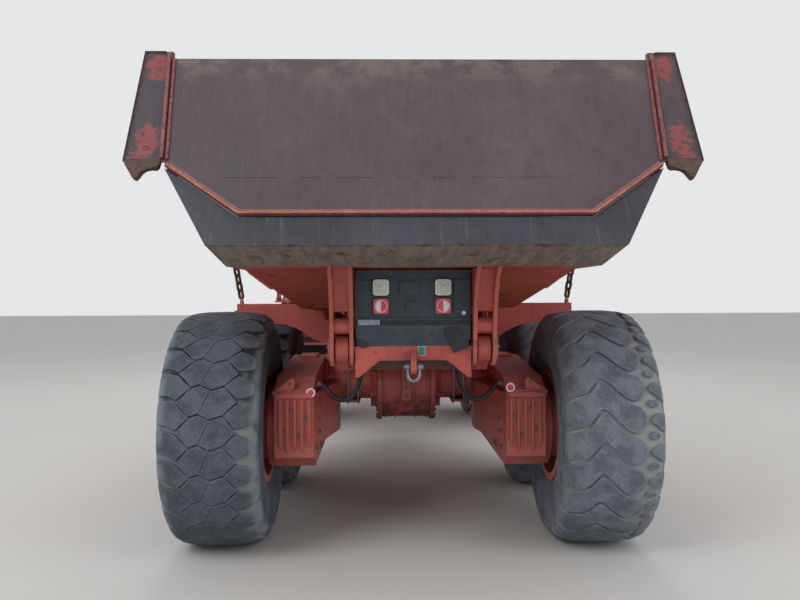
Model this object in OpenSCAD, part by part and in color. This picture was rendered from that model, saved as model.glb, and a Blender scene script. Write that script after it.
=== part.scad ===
// Six-wheel articulated dump truck with a tandem rear bogie.
// +Y points forward, +X to the right, and Z = 0 is the ground.
// The origin is the middle of the overall length and width, on the ground.

/* [Overall] */
// Length from the tail lip to the bumper's face
overall_l = 9900; // [9700:50:10100]
// Width over the tyres and the tailgate arms
overall_w = 3160; // [3120:10:3200]

/* [Wheels] */
// Radius of a tyre out to the tips of its lugs
tyre_r = 800; // [780:5:810]
// Width of a tyre's section
tyre_w = 635; // [600:5:650]
// Depth of the grooves between the lugs
lug_depth = 34; // [20:2:44]
// Number of lugs on each side of a tyre
lug_count = 20; // [14:1:24]
// Radius of a rim out to its flange
rim_r = 388; // [370:2:400]
// Radius of a hub's drum
drum_r = 225; // [180:5:260]

/* [Axle positions] */
// Place of the rear bogie's centre along Y
bogie_y = -2540; // [-2580:10:-2500]
// Distance between the two rear wheel rows
bogie_spacing = 1700; // [1680:10:1760]
// Place of the front axle along Y
front_axle_y = 2500; // [2450:10:2550]
// Place of the articulation's vertical pin along Y
hitch_y = 900; // [880:10:920]
// Height of the articulation's ring
hitch_z = 1120; // [1110:5:1130]

/* [Dump body] */
// Height of the floor's underside
body_bottom_z = 1620; // [1615:5:1630]
// Height of the side walls' upper edge at the tail
body_top_z = 3100; // [3000:20:3160]
// Thickness of the side walls
wall_t = 40; // [30:5:60]
// Thickness of the floor
floor_t = 60; // [40:5:80]
// Half width of the floor's underside
body_half_w = 760; // [740:10:780]
// Front end of the body along Y
body_front_y = 350; // [250:10:380]
// Thickness of the tailgate's plate
gate_t = 40; // [30:5:50]
// Gap between the tailgate and the body
gate_gap = 8; // [6:1:14]

/* [Frames] */
// Width of each chassis rail
rail_w = 130; // [110:5:150]
// Inner half distance between the chassis rails
rail_x = 300; // [280:10:320]
// Height of the rear rails' upper face
rail_top_z = 1500; // [1480:10:1520]
// Depth of the rear rails
rail_h = 250; // [200:10:260]
// Height of the front rails' upper face
front_rail_top_z = 1300; // [1280:10:1310]
// Height of the rear axle's casing
rear_axle_z = 1030; // [1020:5:1040]

/* [Cab] */
// Half width of the cab
cab_half_w = 780; // [740:10:785]
// Height of the cab's floor
cab_floor_z = 1720; // [1710:5:1740]
// Height of the cab's roof
cab_roof_z = 3450; // [3350:10:3500]
// Thickness of the cab's walls
cab_t = 60; // [50:5:80]

/* [Hidden] */
$fn = 48;
seat = 0.3;
front_end_y = overall_l / 2;
tail_y = -overall_l / 2;
half_w = overall_w / 2;
rear_wheel_y = bogie_y - bogie_spacing / 2;
mid_wheel_y = bogie_y + bogie_spacing / 2;
tyre_in_x = half_w - tyre_w;
orange = [0.72, 0.20, 0.12];
worn = [0.33, 0.28, 0.27];
black = [0.10, 0.11, 0.12];
steel = [0.62, 0.63, 0.64];

// A box between two corners.
module block(lo, hi) {
    translate(lo) cube(hi - lo);
}

// A side outline of [y, z] points, from x0 to x1.
module side_plate(points, x0, x1) {
    translate([x0, 0, 0]) rotate([90, 0, 90]) linear_extrude(x1 - x0) polygon(points);
}

// A cross outline of [x, z] points, from y0 to y1.
module cross_plate(points, y0, y1) {
    translate([0, y1, 0]) rotate([90, 0, 0]) linear_extrude(y1 - y0) polygon(points);
}

// A cylinder along X from x0 to x1.
module x_rod(x0, x1, y, z, r) {
    translate([x0, y, z]) rotate([0, 90, 0]) cylinder(h = x1 - x0, r = r);
}

// A cylinder along Y from y0 to y1.
module y_rod(x, y0, y1, z, r) {
    translate([x, y1, z]) rotate([90, 0, 0]) cylinder(h = y1 - y0, r = r);
}

// A cylinder along Z from z0 to z1.
module z_rod(x, y, z0, z1, r) {
    translate([x, y, z0]) cylinder(h = z1 - z0, r = r);
}

// The child and its mirror image on the other side.
module both_sides() {
    children();
    mirror([1, 0, 0]) children();
}

// side is 1 on the right and -1 on the left.
module on_side(side) {
    if (side > 0) children();
    else mirror([1, 0, 0]) children();
}

// Wheels. The outline runs over radius and distance from the wheel's middle plane.
half_tyre = tyre_w / 2;
bead_x = half_tyre - 45;
bead_r = rim_r - 26;
shoulder_r = tyre_r - 95;
wheel_x = tyre_in_x + half_tyre;
disc_in_x = half_w - 440;
tyre_outline = [
    [bead_r, -bead_x + 18], [rim_r + 20, -bead_x + 4], [rim_r + 70, -half_tyre + 14], [560, -half_tyre],
    [640, -half_tyre + 8], [shoulder_r, -half_tyre + 30], [tyre_r - 35, -half_tyre + 62],
    [tyre_r - 10, -half_tyre + 110], [tyre_r, -half_tyre + 190],
    [tyre_r, half_tyre - 190], [tyre_r - 10, half_tyre - 110],
    [tyre_r - 35, half_tyre - 62], [shoulder_r, half_tyre - 30], [640, half_tyre - 8],
    [560, half_tyre], [rim_r + 70, half_tyre - 14], [rim_r + 20, bead_x - 4], [bead_r, bead_x - 18]];

// The carcass under the lugs, and the ring of lugs on one half of the crown.
crown_r = tyre_r - lug_depth;
carcass_outline = [
    [bead_r, -bead_x + 18], [rim_r + 20, -bead_x + 4], [rim_r + 70, -half_tyre + 14], [560, -half_tyre],
    [640, -half_tyre + 8], [shoulder_r - 30, -half_tyre + 42], [crown_r - 22, -half_tyre + 88], [crown_r, -half_tyre + 150],
    [crown_r, half_tyre - 150], [crown_r - 22, half_tyre - 88], [shoulder_r - 30, half_tyre - 42],
    [640, half_tyre - 8], [560, half_tyre], [rim_r + 70, half_tyre - 14], [rim_r + 20, bead_x - 4], [bead_r, bead_x - 18]];
lug_in_r = 640;
lug_step = 360 / lug_count;
function on_circle(r, turn) = [r * cos(turn), r * sin(turn)];

module lug_star() {
    difference() {
        polygon([for (i = [0 : lug_count - 1]) each [
            on_circle(lug_in_r, lug_step * (i - 0.38)), on_circle(tyre_r + 6, lug_step * (i - 0.30)),
            on_circle(tyre_r + 6, lug_step * (i + 0.30)), on_circle(lug_in_r, lug_step * (i + 0.38))]]);
        circle(lug_in_r - 30);
    }
}

module lugs() {
    intersection() {
        rotate_extrude($fn = 96) polygon(tyre_outline);
        union() {
            translate([0, 0, 10]) linear_extrude(half_tyre - 20) lug_star();
            rotate([0, 0, lug_step / 2]) translate([0, 0, 10 - half_tyre]) linear_extrude(half_tyre - 20) lug_star();
        }
    }
}

module wheel_place(y) {
    translate([wheel_x, y, tyre_r]) rotate([0, 90, 0]) children();
}

module tyre(side, y) {
    color(black) on_side(side) wheel_place(y) {
        rotate_extrude($fn = 96) polygon(carcass_outline);
        lugs();
    }
}

rim_half = bead_x + 12;
barrel_r = bead_r - seat;
rim_inner_r = barrel_r - 22;
disc_w = 28;
disc_z = disc_in_x - wheel_x;
rim_outline = [
    [rim_inner_r, -rim_half], [rim_r, -rim_half], [rim_r, -rim_half + 10], [barrel_r, -bead_x + 16],
    [barrel_r, bead_x - 16], [rim_r, rim_half - 10], [rim_r, rim_half], [rim_inner_r, rim_half],
    [rim_inner_r, disc_z + disc_w + 70], [250, disc_z + disc_w], [250, disc_z + disc_w + 60],
    [150, disc_z + disc_w + 110], [0, disc_z + disc_w + 110], [0, disc_z], [rim_inner_r, disc_z]];

module rim(side, y) {
    color(orange) on_side(side) wheel_place(y) difference() {
        rotate_extrude($fn = 96) polygon(rim_outline);
        for (turn = [0 : 45 : 315])
            rotate([0, 0, turn]) translate([295, 0, disc_z - 1]) cylinder(h = 110, r = 22);
    }
}

// The drum that carries a wheel, from x0 to the wheel's disc.
module drum(x0, y) {
    x_rod(x0, disc_in_x - 0.5, y, tyre_r, drum_r);
    x_rod(x0, x0 + 60, y, tyre_r, drum_r + 45);
}

// Rear frame
rail_out_x = rail_x + rail_w;
rail_low_z = rail_top_z - rail_h;
tip_y = tail_y + 760;
tip_z = 1390;
tip_pin_r = 40;
lug_in_x = 388;
lug_out_x = 462;
arm_in_x = 355;
arm_out_x = 495;
arm_t = 23;
rail_end_y = tip_y + 140;
tail_beam_y = tip_y - 70;
tail_beam_top_z = 1410;
tow_y = tail_beam_y - 45;
tow_z = 1290;
tow_hole_r = 20;
tow_plate_t = 34;
nose_y = 600;
nose_back_y = nose_y - 350;
ear_r = 150;
ear_t = 80;
ear_gap_h = 560;
hitch_pin_r = 52;
hitch_top_z = hitch_z + ear_gap_h / 2;
hitch_low_z = hitch_z - ear_gap_h / 2;
hoist_y = -150;
hoist_z = 950;
hoist_x = 560;
hoist_pin_r = 36;
hoist_ear_gap = 62;
hoist_side = 96;
steer_ear_gap = 58;
steer_front_gap = 34;
steer_back_x = 540;
steer_back_y = 80;
steer_pin_r = 24;
outrigger_x = half_w - 230;
outrigger_y = bogie_y + 20;
outrigger_top_z = 1645;

module rear_frame() {
    color(orange) difference() {
        union() {
            both_sides() {
                block([rail_x, rail_end_y, rail_low_z], [rail_out_x, nose_back_y, rail_top_z]);
                tip_lug();
                axle_bracket();
                body_rests();
                hoist_bracket();
                steer_bracket();
                outrigger();
            }
            nose();
            tail_beam();
            for (y = [-3350, -2100, -1000])
                x_rod(-rail_x - 1, rail_x + 1, y, rail_low_z + 130, 90);
        }
        x_rod(-tow_plate_t, tow_plate_t, tow_y, tow_z, tow_hole_r);
    }
}

// Bearing lug and pin of the tipping hinge.
module tip_lug() {
    side_plate([[rail_end_y + 1, rail_low_z], [tip_y, tip_z - 78], [tip_y, tip_z + 78],
                [rail_end_y + 1, rail_top_z]], lug_in_x, lug_out_x);
    block([rail_out_x - 1, rail_end_y, rail_low_z], [lug_out_x, rail_end_y + 120, rail_top_z]);
    x_rod(lug_in_x, lug_out_x, tip_y, tip_z, 78);
    x_rod(arm_in_x - 4, arm_out_x + 6, tip_y, tip_z, tip_pin_r);
}

module axle_bracket() {
    side_plate([[bogie_y - 190, rail_low_z + 1], [bogie_y - 120, rear_axle_z + 150],
                [bogie_y + 120, rear_axle_z + 150], [bogie_y + 190, rail_low_z + 1]], rail_x, rail_out_x);
}

// Rubber rests that the body lies on.
module body_rests() {
    for (y = [-3100, -1500, -250])
        block([rail_x + 15, y - 70, rail_top_z - 1], [rail_out_x - 15, y + 70, body_bottom_z - 8]);
}

module hoist_bracket() {
    side_plate([[hoist_y - 260, rail_low_z + 60], [hoist_y - 80, hoist_z - 60],
                [hoist_y + 50, hoist_z - 70], [hoist_y + 120, rail_low_z + 60]], rail_out_x - 60, hoist_x - hoist_side);
    x_rod(hoist_x - hoist_side - 1, hoist_x + 60, hoist_y, hoist_z, hoist_pin_r);
}

module steer_bracket() {
    for (z = [hitch_z - steer_ear_gap - 28, hitch_z + steer_ear_gap])
        block([rail_x - 1, steer_back_y - 55, z], [steer_back_x + 50, steer_back_y + 55, z + 28]);
    block([rail_x - 1, steer_back_y - 55, hitch_z - steer_ear_gap - 27], [rail_out_x - 20, steer_back_y + 55, rail_low_z + 1]);
    z_rod(steer_back_x, steer_back_y, hitch_z - steer_ear_gap - 10, hitch_z + steer_ear_gap + 10, steer_pin_r);
}

// Nose with the two ears and the vertical pin of the articulation.
module nose() {
    side_plate([[nose_back_y - 450, rail_low_z], [nose_back_y - 300, 1130], [nose_back_y, 1000],
                [nose_y, hitch_low_z - ear_t], [nose_y, hitch_top_z + ear_t], [nose_back_y, rail_top_z],
                [nose_back_y - 450, rail_top_z]], -rail_x - 1, rail_x + 1);
    for (z = [hitch_low_z - ear_t, hitch_top_z]) {
        block([-ear_r, nose_y - 1, z], [ear_r, hitch_y, z + ear_t]);
        z_rod(0, hitch_y, z, z + ear_t, ear_r);
    }
    z_rod(0, hitch_y, hitch_low_z - ear_t - 20, hitch_top_z + ear_t + 20, hitch_pin_r);
}

// Beam across the tail, with the plate that holds the tow shackle.
module tail_beam() {
    cross_plate([[-345, 1225], [-325, 1225], [-200, 1325], [200, 1325], [325, 1225], [345, 1225],
                 [345, tail_beam_top_z], [-345, tail_beam_top_z]], tail_beam_y, rail_end_y + 1);
    block([-rail_x - 1, rail_end_y, rail_low_z], [rail_x + 1, rail_end_y + 120, rail_top_z]);
    side_plate([[tail_beam_y - 20, 1380], [tow_y - 40, tow_z + 30], [tow_y - 40, tow_z - 20],
                [tow_y - 15, tow_z - 42], [tow_y + 25, tow_z - 42], [tail_beam_y + 60, tow_z - 10],
                [tail_beam_y + 60, 1380]], -tow_plate_t / 2, tow_plate_t / 2);
}

// Side arm that holds a chain's lower end, with a curved underside.
module outrigger() {
    difference() {
        cross_plate([[rail_out_x - 1, rail_low_z + 20], [rail_out_x - 1, 1515], [650, 1515],
                     [660, body_bottom_z - 20], [800, body_bottom_z - 20], [860, outrigger_top_z],
                     [outrigger_x, outrigger_top_z], [outrigger_x, outrigger_top_z - 110]],
                    outrigger_y - 40, outrigger_y + 40);
        y_rod(1080, outrigger_y - 41, outrigger_y + 41, 990, 500);
    }
    side_plate([[outrigger_y - 40, outrigger_top_z - 1], [outrigger_y - 20, outrigger_top_z + 34],
                [outrigger_y + 20, outrigger_top_z + 34], [outrigger_y + 40, outrigger_top_z - 1]],
               outrigger_x - 42, outrigger_x - 22);
}

// Rear axle and bogies
bogie_out_x = tyre_in_x - 45;
bogie_in_x = bogie_out_x - 260;
diff_r = 295;
diff_half_w = 190;

module rear_axle() {
    color(orange) {
        x_rod(-bogie_in_x + seat, bogie_in_x - seat, bogie_y, rear_axle_z, 150 - seat);
        x_rod(-diff_half_w, diff_half_w, bogie_y, rear_axle_z, diff_r);
        both_sides() {
            x_rod(diff_half_w - 1, diff_half_w + 32, bogie_y, rear_axle_z, diff_r + 22);
            for (turn = [30 : 60 : 330])
                translate([0, bogie_y, rear_axle_z]) rotate([turn, 0, 0])
                    block([diff_half_w + 31, 148, -11], [rail_x - 20, 215, 11]);
        }
        side_plate([[bogie_y - diff_r - 20, rear_axle_z - 130], [bogie_y - diff_r - 20, rear_axle_z + 130],
                    [bogie_y, rear_axle_z + 160], [bogie_y, rear_axle_z - 160]], -38, 38);
    }
}

module bogie(side) {
    color(orange) on_side(side) difference() {
        union() {
            side_plate([[rear_wheel_y - 330, 640], [rear_wheel_y - 330, 1080], [rear_wheel_y - 170, 1160],
                        [bogie_y, 1230], [mid_wheel_y + 170, 1160], [mid_wheel_y + 330, 1080],
                        [mid_wheel_y + 330, 640], [mid_wheel_y + 200, 560], [rear_wheel_y - 200, 560]],
                       bogie_in_x, bogie_out_x);
            translate([0, 0, 700]) linear_extrude(360)
                polygon([[bogie_in_x + 1, rear_wheel_y - 290], [bogie_in_x + 1, bogie_y - 200],
                         [bogie_in_x - 130, bogie_y - 260], [bogie_in_x - 130, bogie_y - 420]]);
            for (y = [rear_wheel_y, mid_wheel_y]) drum(bogie_out_x - 1, y);
        }
    }
}

// Tail fittings
panel_half_w = 340;
panel_top_z = 1860;
panel_face_y = tip_y - 60;
lamp_x = 197;
lamp_half = 48;
white_lamp_z = 1765;
red_lamp_z = 1654;

module tail_panel() {
    color(black) difference() {
        union() {
            block([-panel_half_w, panel_face_y, tail_beam_top_z + 140], [panel_half_w, panel_face_y + 26, panel_top_z]);
            cross_plate([[-panel_half_w, tail_beam_top_z + seat + 40], [-panel_half_w + 30, tail_beam_top_z + seat],
                         [panel_half_w - 30, tail_beam_top_z + seat], [panel_half_w, tail_beam_top_z + seat + 40],
                         [panel_half_w, tail_beam_top_z + 141], [-panel_half_w, tail_beam_top_z + 141]],
                        panel_face_y - 12, panel_face_y + 60);
        }
        lamp_places(lamp_half + seat, 12);
    }
}

module lamp_places(half, deep) {
    for (x = [-lamp_x, lamp_x], z = [white_lamp_z, red_lamp_z])
        block([x - half, panel_face_y - 12, z - half], [x + half, panel_face_y + deep, z + half]);
}

module rear_lamps() {
    color("white") lamp_places(lamp_half, 12 - seat);
}

shackle_r = 62;
shackle_wire = 13;
module tow_shackle() {
    color(steel) {
        x_rod(-shackle_r - 24, shackle_r + 24, tow_y, tow_z, tow_hole_r - 1);
        both_sides() {
            x_rod(shackle_r - 20, shackle_r + 20, tow_y, tow_z, 28);
            z_rod(shackle_r, tow_y, tow_z - 46, tow_z, shackle_wire);
        }
        translate([0, tow_y, tow_z - 45]) rotate([-90, 0, 0])
            rotate_extrude(angle = 180) translate([shackle_r, 0]) circle(shackle_wire);
    }
}

// Chains that pull the tailgate open as the body tips
chain_low = [outrigger_x - 32, outrigger_y, outrigger_top_z + 36];
chain_top = [half_w - 80, outrigger_y + 150, 2560];
finger_y = chain_top.y - 42;
link_pitch = 62;
link_wire = 16;
link_len = 90;
link_w = 56;

module link() {
    rotate([90, 0, 0]) translate([0, 0, -link_wire / 2]) linear_extrude(link_wire) difference() {
        union() {
            square([link_w, link_len - link_w], center = true);
            for (s = [-1, 1]) translate([0, s * (link_len - link_w) / 2]) circle(d = link_w, $fn = 24);
        }
        square([link_w - 2 * link_wire, link_len - link_w], center = true);
        for (s = [-1, 1])
            translate([0, s * (link_len - link_w) / 2]) circle(d = link_w - 2 * link_wire, $fn = 24);
    }
}

module tail_chains() {
    run = chain_top - chain_low;
    reach = norm(run);
    links = floor((reach - link_len) / link_pitch) + 1;
    color(steel) both_sides() translate(chain_low)
        rotate([0, acos(run.z / reach), atan2(run.y, run.x)])
            for (i = [0 : links - 1])
                translate([0, 0, link_len / 2 + i * link_pitch]) rotate([0, 0, 90 * i]) link();
}

// Brake hoses from the frame to each bogie
hose_r = 16;
hose_start_z = rail_low_z - seat;
hose_y = 0.25 * rail_end_y + 0.75 * rear_wheel_y;
hose_end_z = rail_low_z - 140;
hose_x = rail_x + 30;
function hose_at(share) = hose_x + share * (bogie_in_x - hose_x);
hose_route = [[hose_x, hose_y, hose_start_z], [hose_x, hose_y, hose_start_z - 50], [hose_at(0.05), hose_y - 20, hose_end_z],
              [hose_at(0.18), hose_y - 45, hose_end_z - 75], [hose_at(0.37), hose_y - 60, hose_end_z - 105],
              [hose_at(0.6), hose_y - 55, hose_end_z - 80], [hose_at(0.74), hose_y - 40, hose_end_z - 35],
              [hose_at(0.87), hose_y - 20, hose_end_z], [bogie_in_x - seat, hose_y - 20, hose_end_z]];

function cross_of(a, b) = cross(a, b) / norm(cross(a, b));
function along(route, i) =
    let (n = len(route) - 1, a = route[max(i - 1, 0)], b = route[min(i + 1, n)]) (b - a) / norm(b - a);
function hose_ring(route, i, r) =
    let (d = along(route, i), u = cross_of(d, [0, 1, 0]), v = cross(d, u))
    [for (k = [0 : 9]) route[i] + r * (cos(36 * k) * u + sin(36 * k) * v)];

module hose(route, r) {
    n = len(route);
    rings = [for (i = [0 : n - 1]) each hose_ring(route, i, r)];
    sides = [for (i = [0 : n - 2], k = [0 : 9])
        [i * 10 + k, i * 10 + (k + 1) % 10, (i + 1) * 10 + (k + 1) % 10, (i + 1) * 10 + k]];
    ends = [[for (k = [9 : -1 : 0]) k], [for (k = [0 : 9]) (n - 1) * 10 + k]];
    polyhedron(rings, concat(sides, ends));
}

module brake_hoses() {
    color(black) both_sides() hose(hose_route, hose_r);
}

// Articulation
spigot_r = 140;
ring_r = 285;
ring_back_y = 1080;
ring_face_y = 1170;
steer_front_x = 330;
steer_front_y = 1020;

module hitch() {
    color(orange) difference() {
        union() {
            z_rod(0, hitch_y, hitch_low_z + 8, hitch_top_z - 8, 130);
            block([-130, hitch_y, hitch_low_z + 70], [130, ring_back_y + 1, hitch_top_z - 70]);
            y_rod(0, ring_back_y, ring_face_y, hitch_z, ring_r);
            y_rod(0, ring_face_y - 1, ring_face_y + 150, hitch_z, spigot_r);
            for (z = [hitch_z - steer_front_gap - 28, hitch_z + steer_front_gap])
                block([-steer_front_x - 45, steer_front_y - 50, z], [steer_front_x + 45, ring_back_y + 1, z + 28]);
        }
        z_rod(0, hitch_y, hitch_low_z, hitch_top_z, hitch_pin_r + 1);
    }
}

// Hydraulic cylinders
steer_run = [steer_front_x - steer_back_x, steer_front_y - steer_back_y];
steer_l = norm(steer_run);
steer_turn = atan2(steer_run.y, steer_run.x);
steer_barrel_l = 600;
steer_rod_l = 640;
hoist_top_y = outrigger_y + 170;
hoist_top_z = body_bottom_z - 120;
hoist_run = [hoist_top_y - hoist_y, hoist_top_z - hoist_z];
hoist_l = norm(hoist_run);
hoist_rise = atan2(hoist_run.y, hoist_run.x);
hoist_barrel_l = 2160;
hoist_rod_l = 2110;

// A barrel along +X from its eye, and its rod from the far eye back.
module barrel(l, r, bore_r, eye_r, eye_hole_r, eye_w) {
    difference() {
        union() {
            rotate([90, 0, 0]) cylinder(h = eye_w, r = eye_r, center = true);
            translate([eye_r * 0.6, 0, 0]) rotate([0, 90, 0]) cylinder(h = l - eye_r * 0.6, r = r);
            translate([l - 60, 0, 0]) rotate([0, 90, 0]) cylinder(h = 60, r = r + 8);
        }
        rotate([90, 0, 0]) cylinder(h = 4 * r, r = eye_hole_r, center = true);
        translate([eye_r + 8, 0, 0]) rotate([0, 90, 0]) cylinder(h = l, r = bore_r);
    }
}

module rod(reach, l, r, eye_r, pin_r, eye_w, pin_w) {
    translate([reach - l, 0, 0]) rotate([0, 90, 0]) cylinder(h = l - eye_r * 0.6, r = r);
    translate([reach, 0, 0]) rotate([90, 0, 0]) {
        cylinder(h = eye_w, r = eye_r, center = true);
        cylinder(h = pin_w, r = pin_r, center = true);
    }
}

module hoist_place() {
    translate([hoist_x, hoist_y, hoist_z]) rotate([0, 0, 90]) rotate([0, -hoist_rise, 0]) children();
}

module steer_place() {
    translate([steer_back_x, steer_back_y, hitch_z]) rotate([0, 0, steer_turn]) rotate([90, 0, 0]) children();
}

module hoist_barrel(side) {
    color(orange) on_side(side) hoist_place() barrel(hoist_barrel_l, 82, 52, 58, hoist_pin_r + 1, 60);
}

module hoist_rod(side) {
    color(steel) on_side(side) hoist_place() rod(hoist_l, hoist_rod_l, 51.7, 58, 30, 100, 2 * (hoist_ear_gap - seat));
}

module steer_barrel(side) {
    color(orange) on_side(side) steer_place() barrel(steer_barrel_l, 52, 30, 46, steer_pin_r + 1, 2 * steer_ear_gap - 6);
}

module steer_rod(side) {
    color(steel) on_side(side) steer_place() rod(steer_l, steer_rod_l, 29.7, 38, 20, 54, 2 * (steer_front_gap - seat));
}

// Front chassis
front_rail_low_z = front_rail_top_z - 250;
bumper_back_y = front_end_y - 120;
frame_ring_y = ring_face_y + 5;
fender_in_x = tyre_in_x - 145;
fender_out_x = half_w - 8;
fender_r = tyre_r + 110;
fender_t = 18;
fender_low_z = 1120;
deck_z = 1640;
deck_back_y = 1330;
cab_front_y = front_axle_y + 580;
bulkhead_y = cab_front_y + 4;
hood_ear_x = 560;
hood_pin_r = 16;
hood_hinge_y = bulkhead_y + 106;
hood_top_z = 2260;
hood_hinge_z = hood_top_z - 75;

module front_frame() {
    color(orange) {
        difference() {
            cross_plate([[-420, 900], [-300, 800], [300, 800], [420, 900], [420, 1340], [300, 1440],
                         [-300, 1440], [-420, 1340]], frame_ring_y, frame_ring_y + 165);
            y_rod(0, frame_ring_y - 1, frame_ring_y + 166, hitch_z, spigot_r + 0.6);
        }
        both_sides() {
            block([rail_x, frame_ring_y + 164, front_rail_low_z], [rail_out_x, bumper_back_y - seat, front_rail_top_z]);
            // Brackets of the fenders, tanks and cab
            for (y = [front_axle_y - 720, front_axle_y + 750])
                block([rail_out_x - 1, y - 50, front_rail_top_z - 90], [fender_in_x - seat, y + 50, front_rail_top_z - 20]);
            for (y = [cab_back_y + 100, cab_front_y - 180])
                side_plate([[y - 90, front_rail_top_z - 1], [y - 60, cab_floor_z - seat], [y + 60, cab_floor_z - seat],
                            [y + 90, front_rail_top_z - 1]], rail_x, 640);
            block([rail_out_x - 1, 1450, front_rail_low_z + 20], [rail_out_x + 9.7, 2200, front_rail_top_z - 20]);
        }
        for (y = [cab_back_y + 200, cab_front_y - 30, front_end_y - 350])
            block([-rail_x - 1, y - 70, front_rail_low_z + 20], [rail_x + 1, y + 70, front_rail_low_z + 150]);
        bulkhead();
    }
}

// Plate behind the hood, with the bearings of the hood's hinge.
module bulkhead() {
    cross_plate([[-hood_ear_x, front_rail_top_z - 1], [hood_ear_x, front_rail_top_z - 1],
                 [hood_ear_x, hood_hinge_z - 10], [-hood_ear_x, hood_hinge_z - 10]], bulkhead_y, bulkhead_y + 12);
    both_sides() difference() {
        union() {
            side_plate([[bulkhead_y + 1, hood_hinge_z - 130], [bulkhead_y + 1, hood_hinge_z - 45],
                        [hood_hinge_y, hood_hinge_z - 20], [hood_hinge_y + 25, hood_hinge_z - 15]],
                       hood_ear_x - 24, hood_ear_x);
            x_rod(hood_ear_x - 24, hood_ear_x, hood_hinge_y, hood_hinge_z, 30);
        }
        x_rod(hood_ear_x - 25, hood_ear_x + 1, hood_hinge_y, hood_hinge_z, hood_pin_r + 0.5);
    }
}

front_axle_outline = [[0, -bogie_out_x], [120, -bogie_out_x], [120, -340], [190, -230], [235, -90],
                      [235, 90], [190, 230], [120, 340], [120, bogie_out_x], [0, bogie_out_x]];

module front_axle() {
    color(orange) {
        translate([0, front_axle_y, tyre_r]) rotate([0, 90, 0]) rotate_extrude() polygon(front_axle_outline);
        both_sides() {
            drum(bogie_out_x - 1, front_axle_y);
            side_plate([[front_axle_y - 110, tyre_r], [front_axle_y + 110, tyre_r],
                        [front_axle_y + 80, front_rail_low_z - seat], [front_axle_y - 80, front_rail_low_z - seat]],
                       rail_x + 10, rail_out_x - 10);
        }
    }
}

engine_back_y = cab_front_y + 240;
engine_front_y = front_end_y - 470;
module engine_block() {
    color(steel) block([-rail_x + seat, engine_back_y, front_rail_low_z + 150], [rail_x - seat, engine_front_y, hood_top_z - 360]);
}

bumper_low_z = 860;
bumper_top_z = 1440;
module bumper() {
    color(orange) difference() {
        linear_z(bumper_low_z, bumper_top_z,
                 [[-1240, bumper_back_y], [1240, bumper_back_y], [1240, front_end_y - 70],
                  [900, front_end_y], [-900, front_end_y], [-1240, front_end_y - 70]]);
        lamp_pockets(seat);
        cross_plate([[-1241, bumper_low_z - 1], [-1241, bumper_low_z + 220], [-820, bumper_low_z - 1]],
                    bumper_back_y - 1, front_end_y + 1);
        cross_plate([[1241, bumper_low_z - 1], [1241, bumper_low_z + 220], [820, bumper_low_z - 1]],
                    bumper_back_y - 1, front_end_y + 1);
        z_rod(0, front_end_y - 55, bumper_low_z - 1, bumper_low_z + 121, tow_pin_r);
        block([-90, front_end_y - 95, bumper_low_z + 120], [90, front_end_y + 1, bumper_low_z + 260]);
    }
}

tow_pin_r = 25;
module linear_z(z0, z1, points) {
    translate([0, 0, z0]) linear_extrude(z1 - z0) polygon(points);
}

module lamp_pockets(gap) {
    for (x = [-780, -600, 600, 780])
        block([x - 75 - gap, front_end_y - 30 - gap, 1260 - gap], [x + 75 + gap, front_end_y - 2 + gap * 9, 1380 + gap]);
}

module front_lamps() {
    color("white") lamp_pockets(0);
}

module fenders() {
    color(orange) both_sides() {
        difference() {
            union() {
                x_rod(fender_in_x, fender_out_x, front_axle_y, tyre_r, fender_r);
                block([fender_in_x, deck_back_y, deck_z - 20], [fender_out_x, front_axle_y - 300, deck_z]);
            }
            x_rod(fender_in_x + fender_t, fender_out_x + 1, front_axle_y, tyre_r, fender_r - fender_t);
            block([fender_in_x - 1, front_axle_y - fender_r - 1, tyre_r - fender_r - 1],
                  [fender_out_x + 1, front_axle_y + fender_r + 1, fender_low_z]);
            x_rod(fender_in_x - 1, fender_in_x + fender_t + 1, front_axle_y, tyre_r, 300);
        }
        // Steps at the back of the fender
        for (x = [fender_in_x + 60, fender_out_x - 180])
            block([x, deck_back_y + 10, 520], [x + 24, deck_back_y + 90, deck_z - 19]);
        for (z = [540, 800, 1070, 1340])
            block([fender_in_x + 60, deck_back_y, z], [fender_out_x - 156, deck_back_y + 200, z + 26]);
        // Handrail of the deck
        for (y = [deck_back_y + 30, hinge_y - 80])
            z_rod(fender_out_x - 40, y, deck_z - 1, deck_z + 900, 17);
        y_rod(fender_out_x - 40, deck_back_y + 30, hinge_y - 80, deck_z + 900, 17);
        y_rod(fender_out_x - 40, deck_back_y + 30, hinge_y - 80, deck_z + 480, 14);
    }
}

tank_out_x = cab_half_w;
tank_low_z = 810;
tank_top_z = fender_low_z - 10;
module side_tanks() {
    color(orange) both_sides()
        cross_plate([[rail_out_x + 10, tank_low_z + 50], [rail_out_x + 60, tank_low_z], [tank_out_x - 60, tank_low_z],
                     [tank_out_x, tank_low_z + 60], [tank_out_x, tank_top_z - 25], [tank_out_x - 40, tank_top_z],
                     [rail_out_x + 10, tank_top_z]], cab_back_y + 40, cab_back_y + 660);
}

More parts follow.
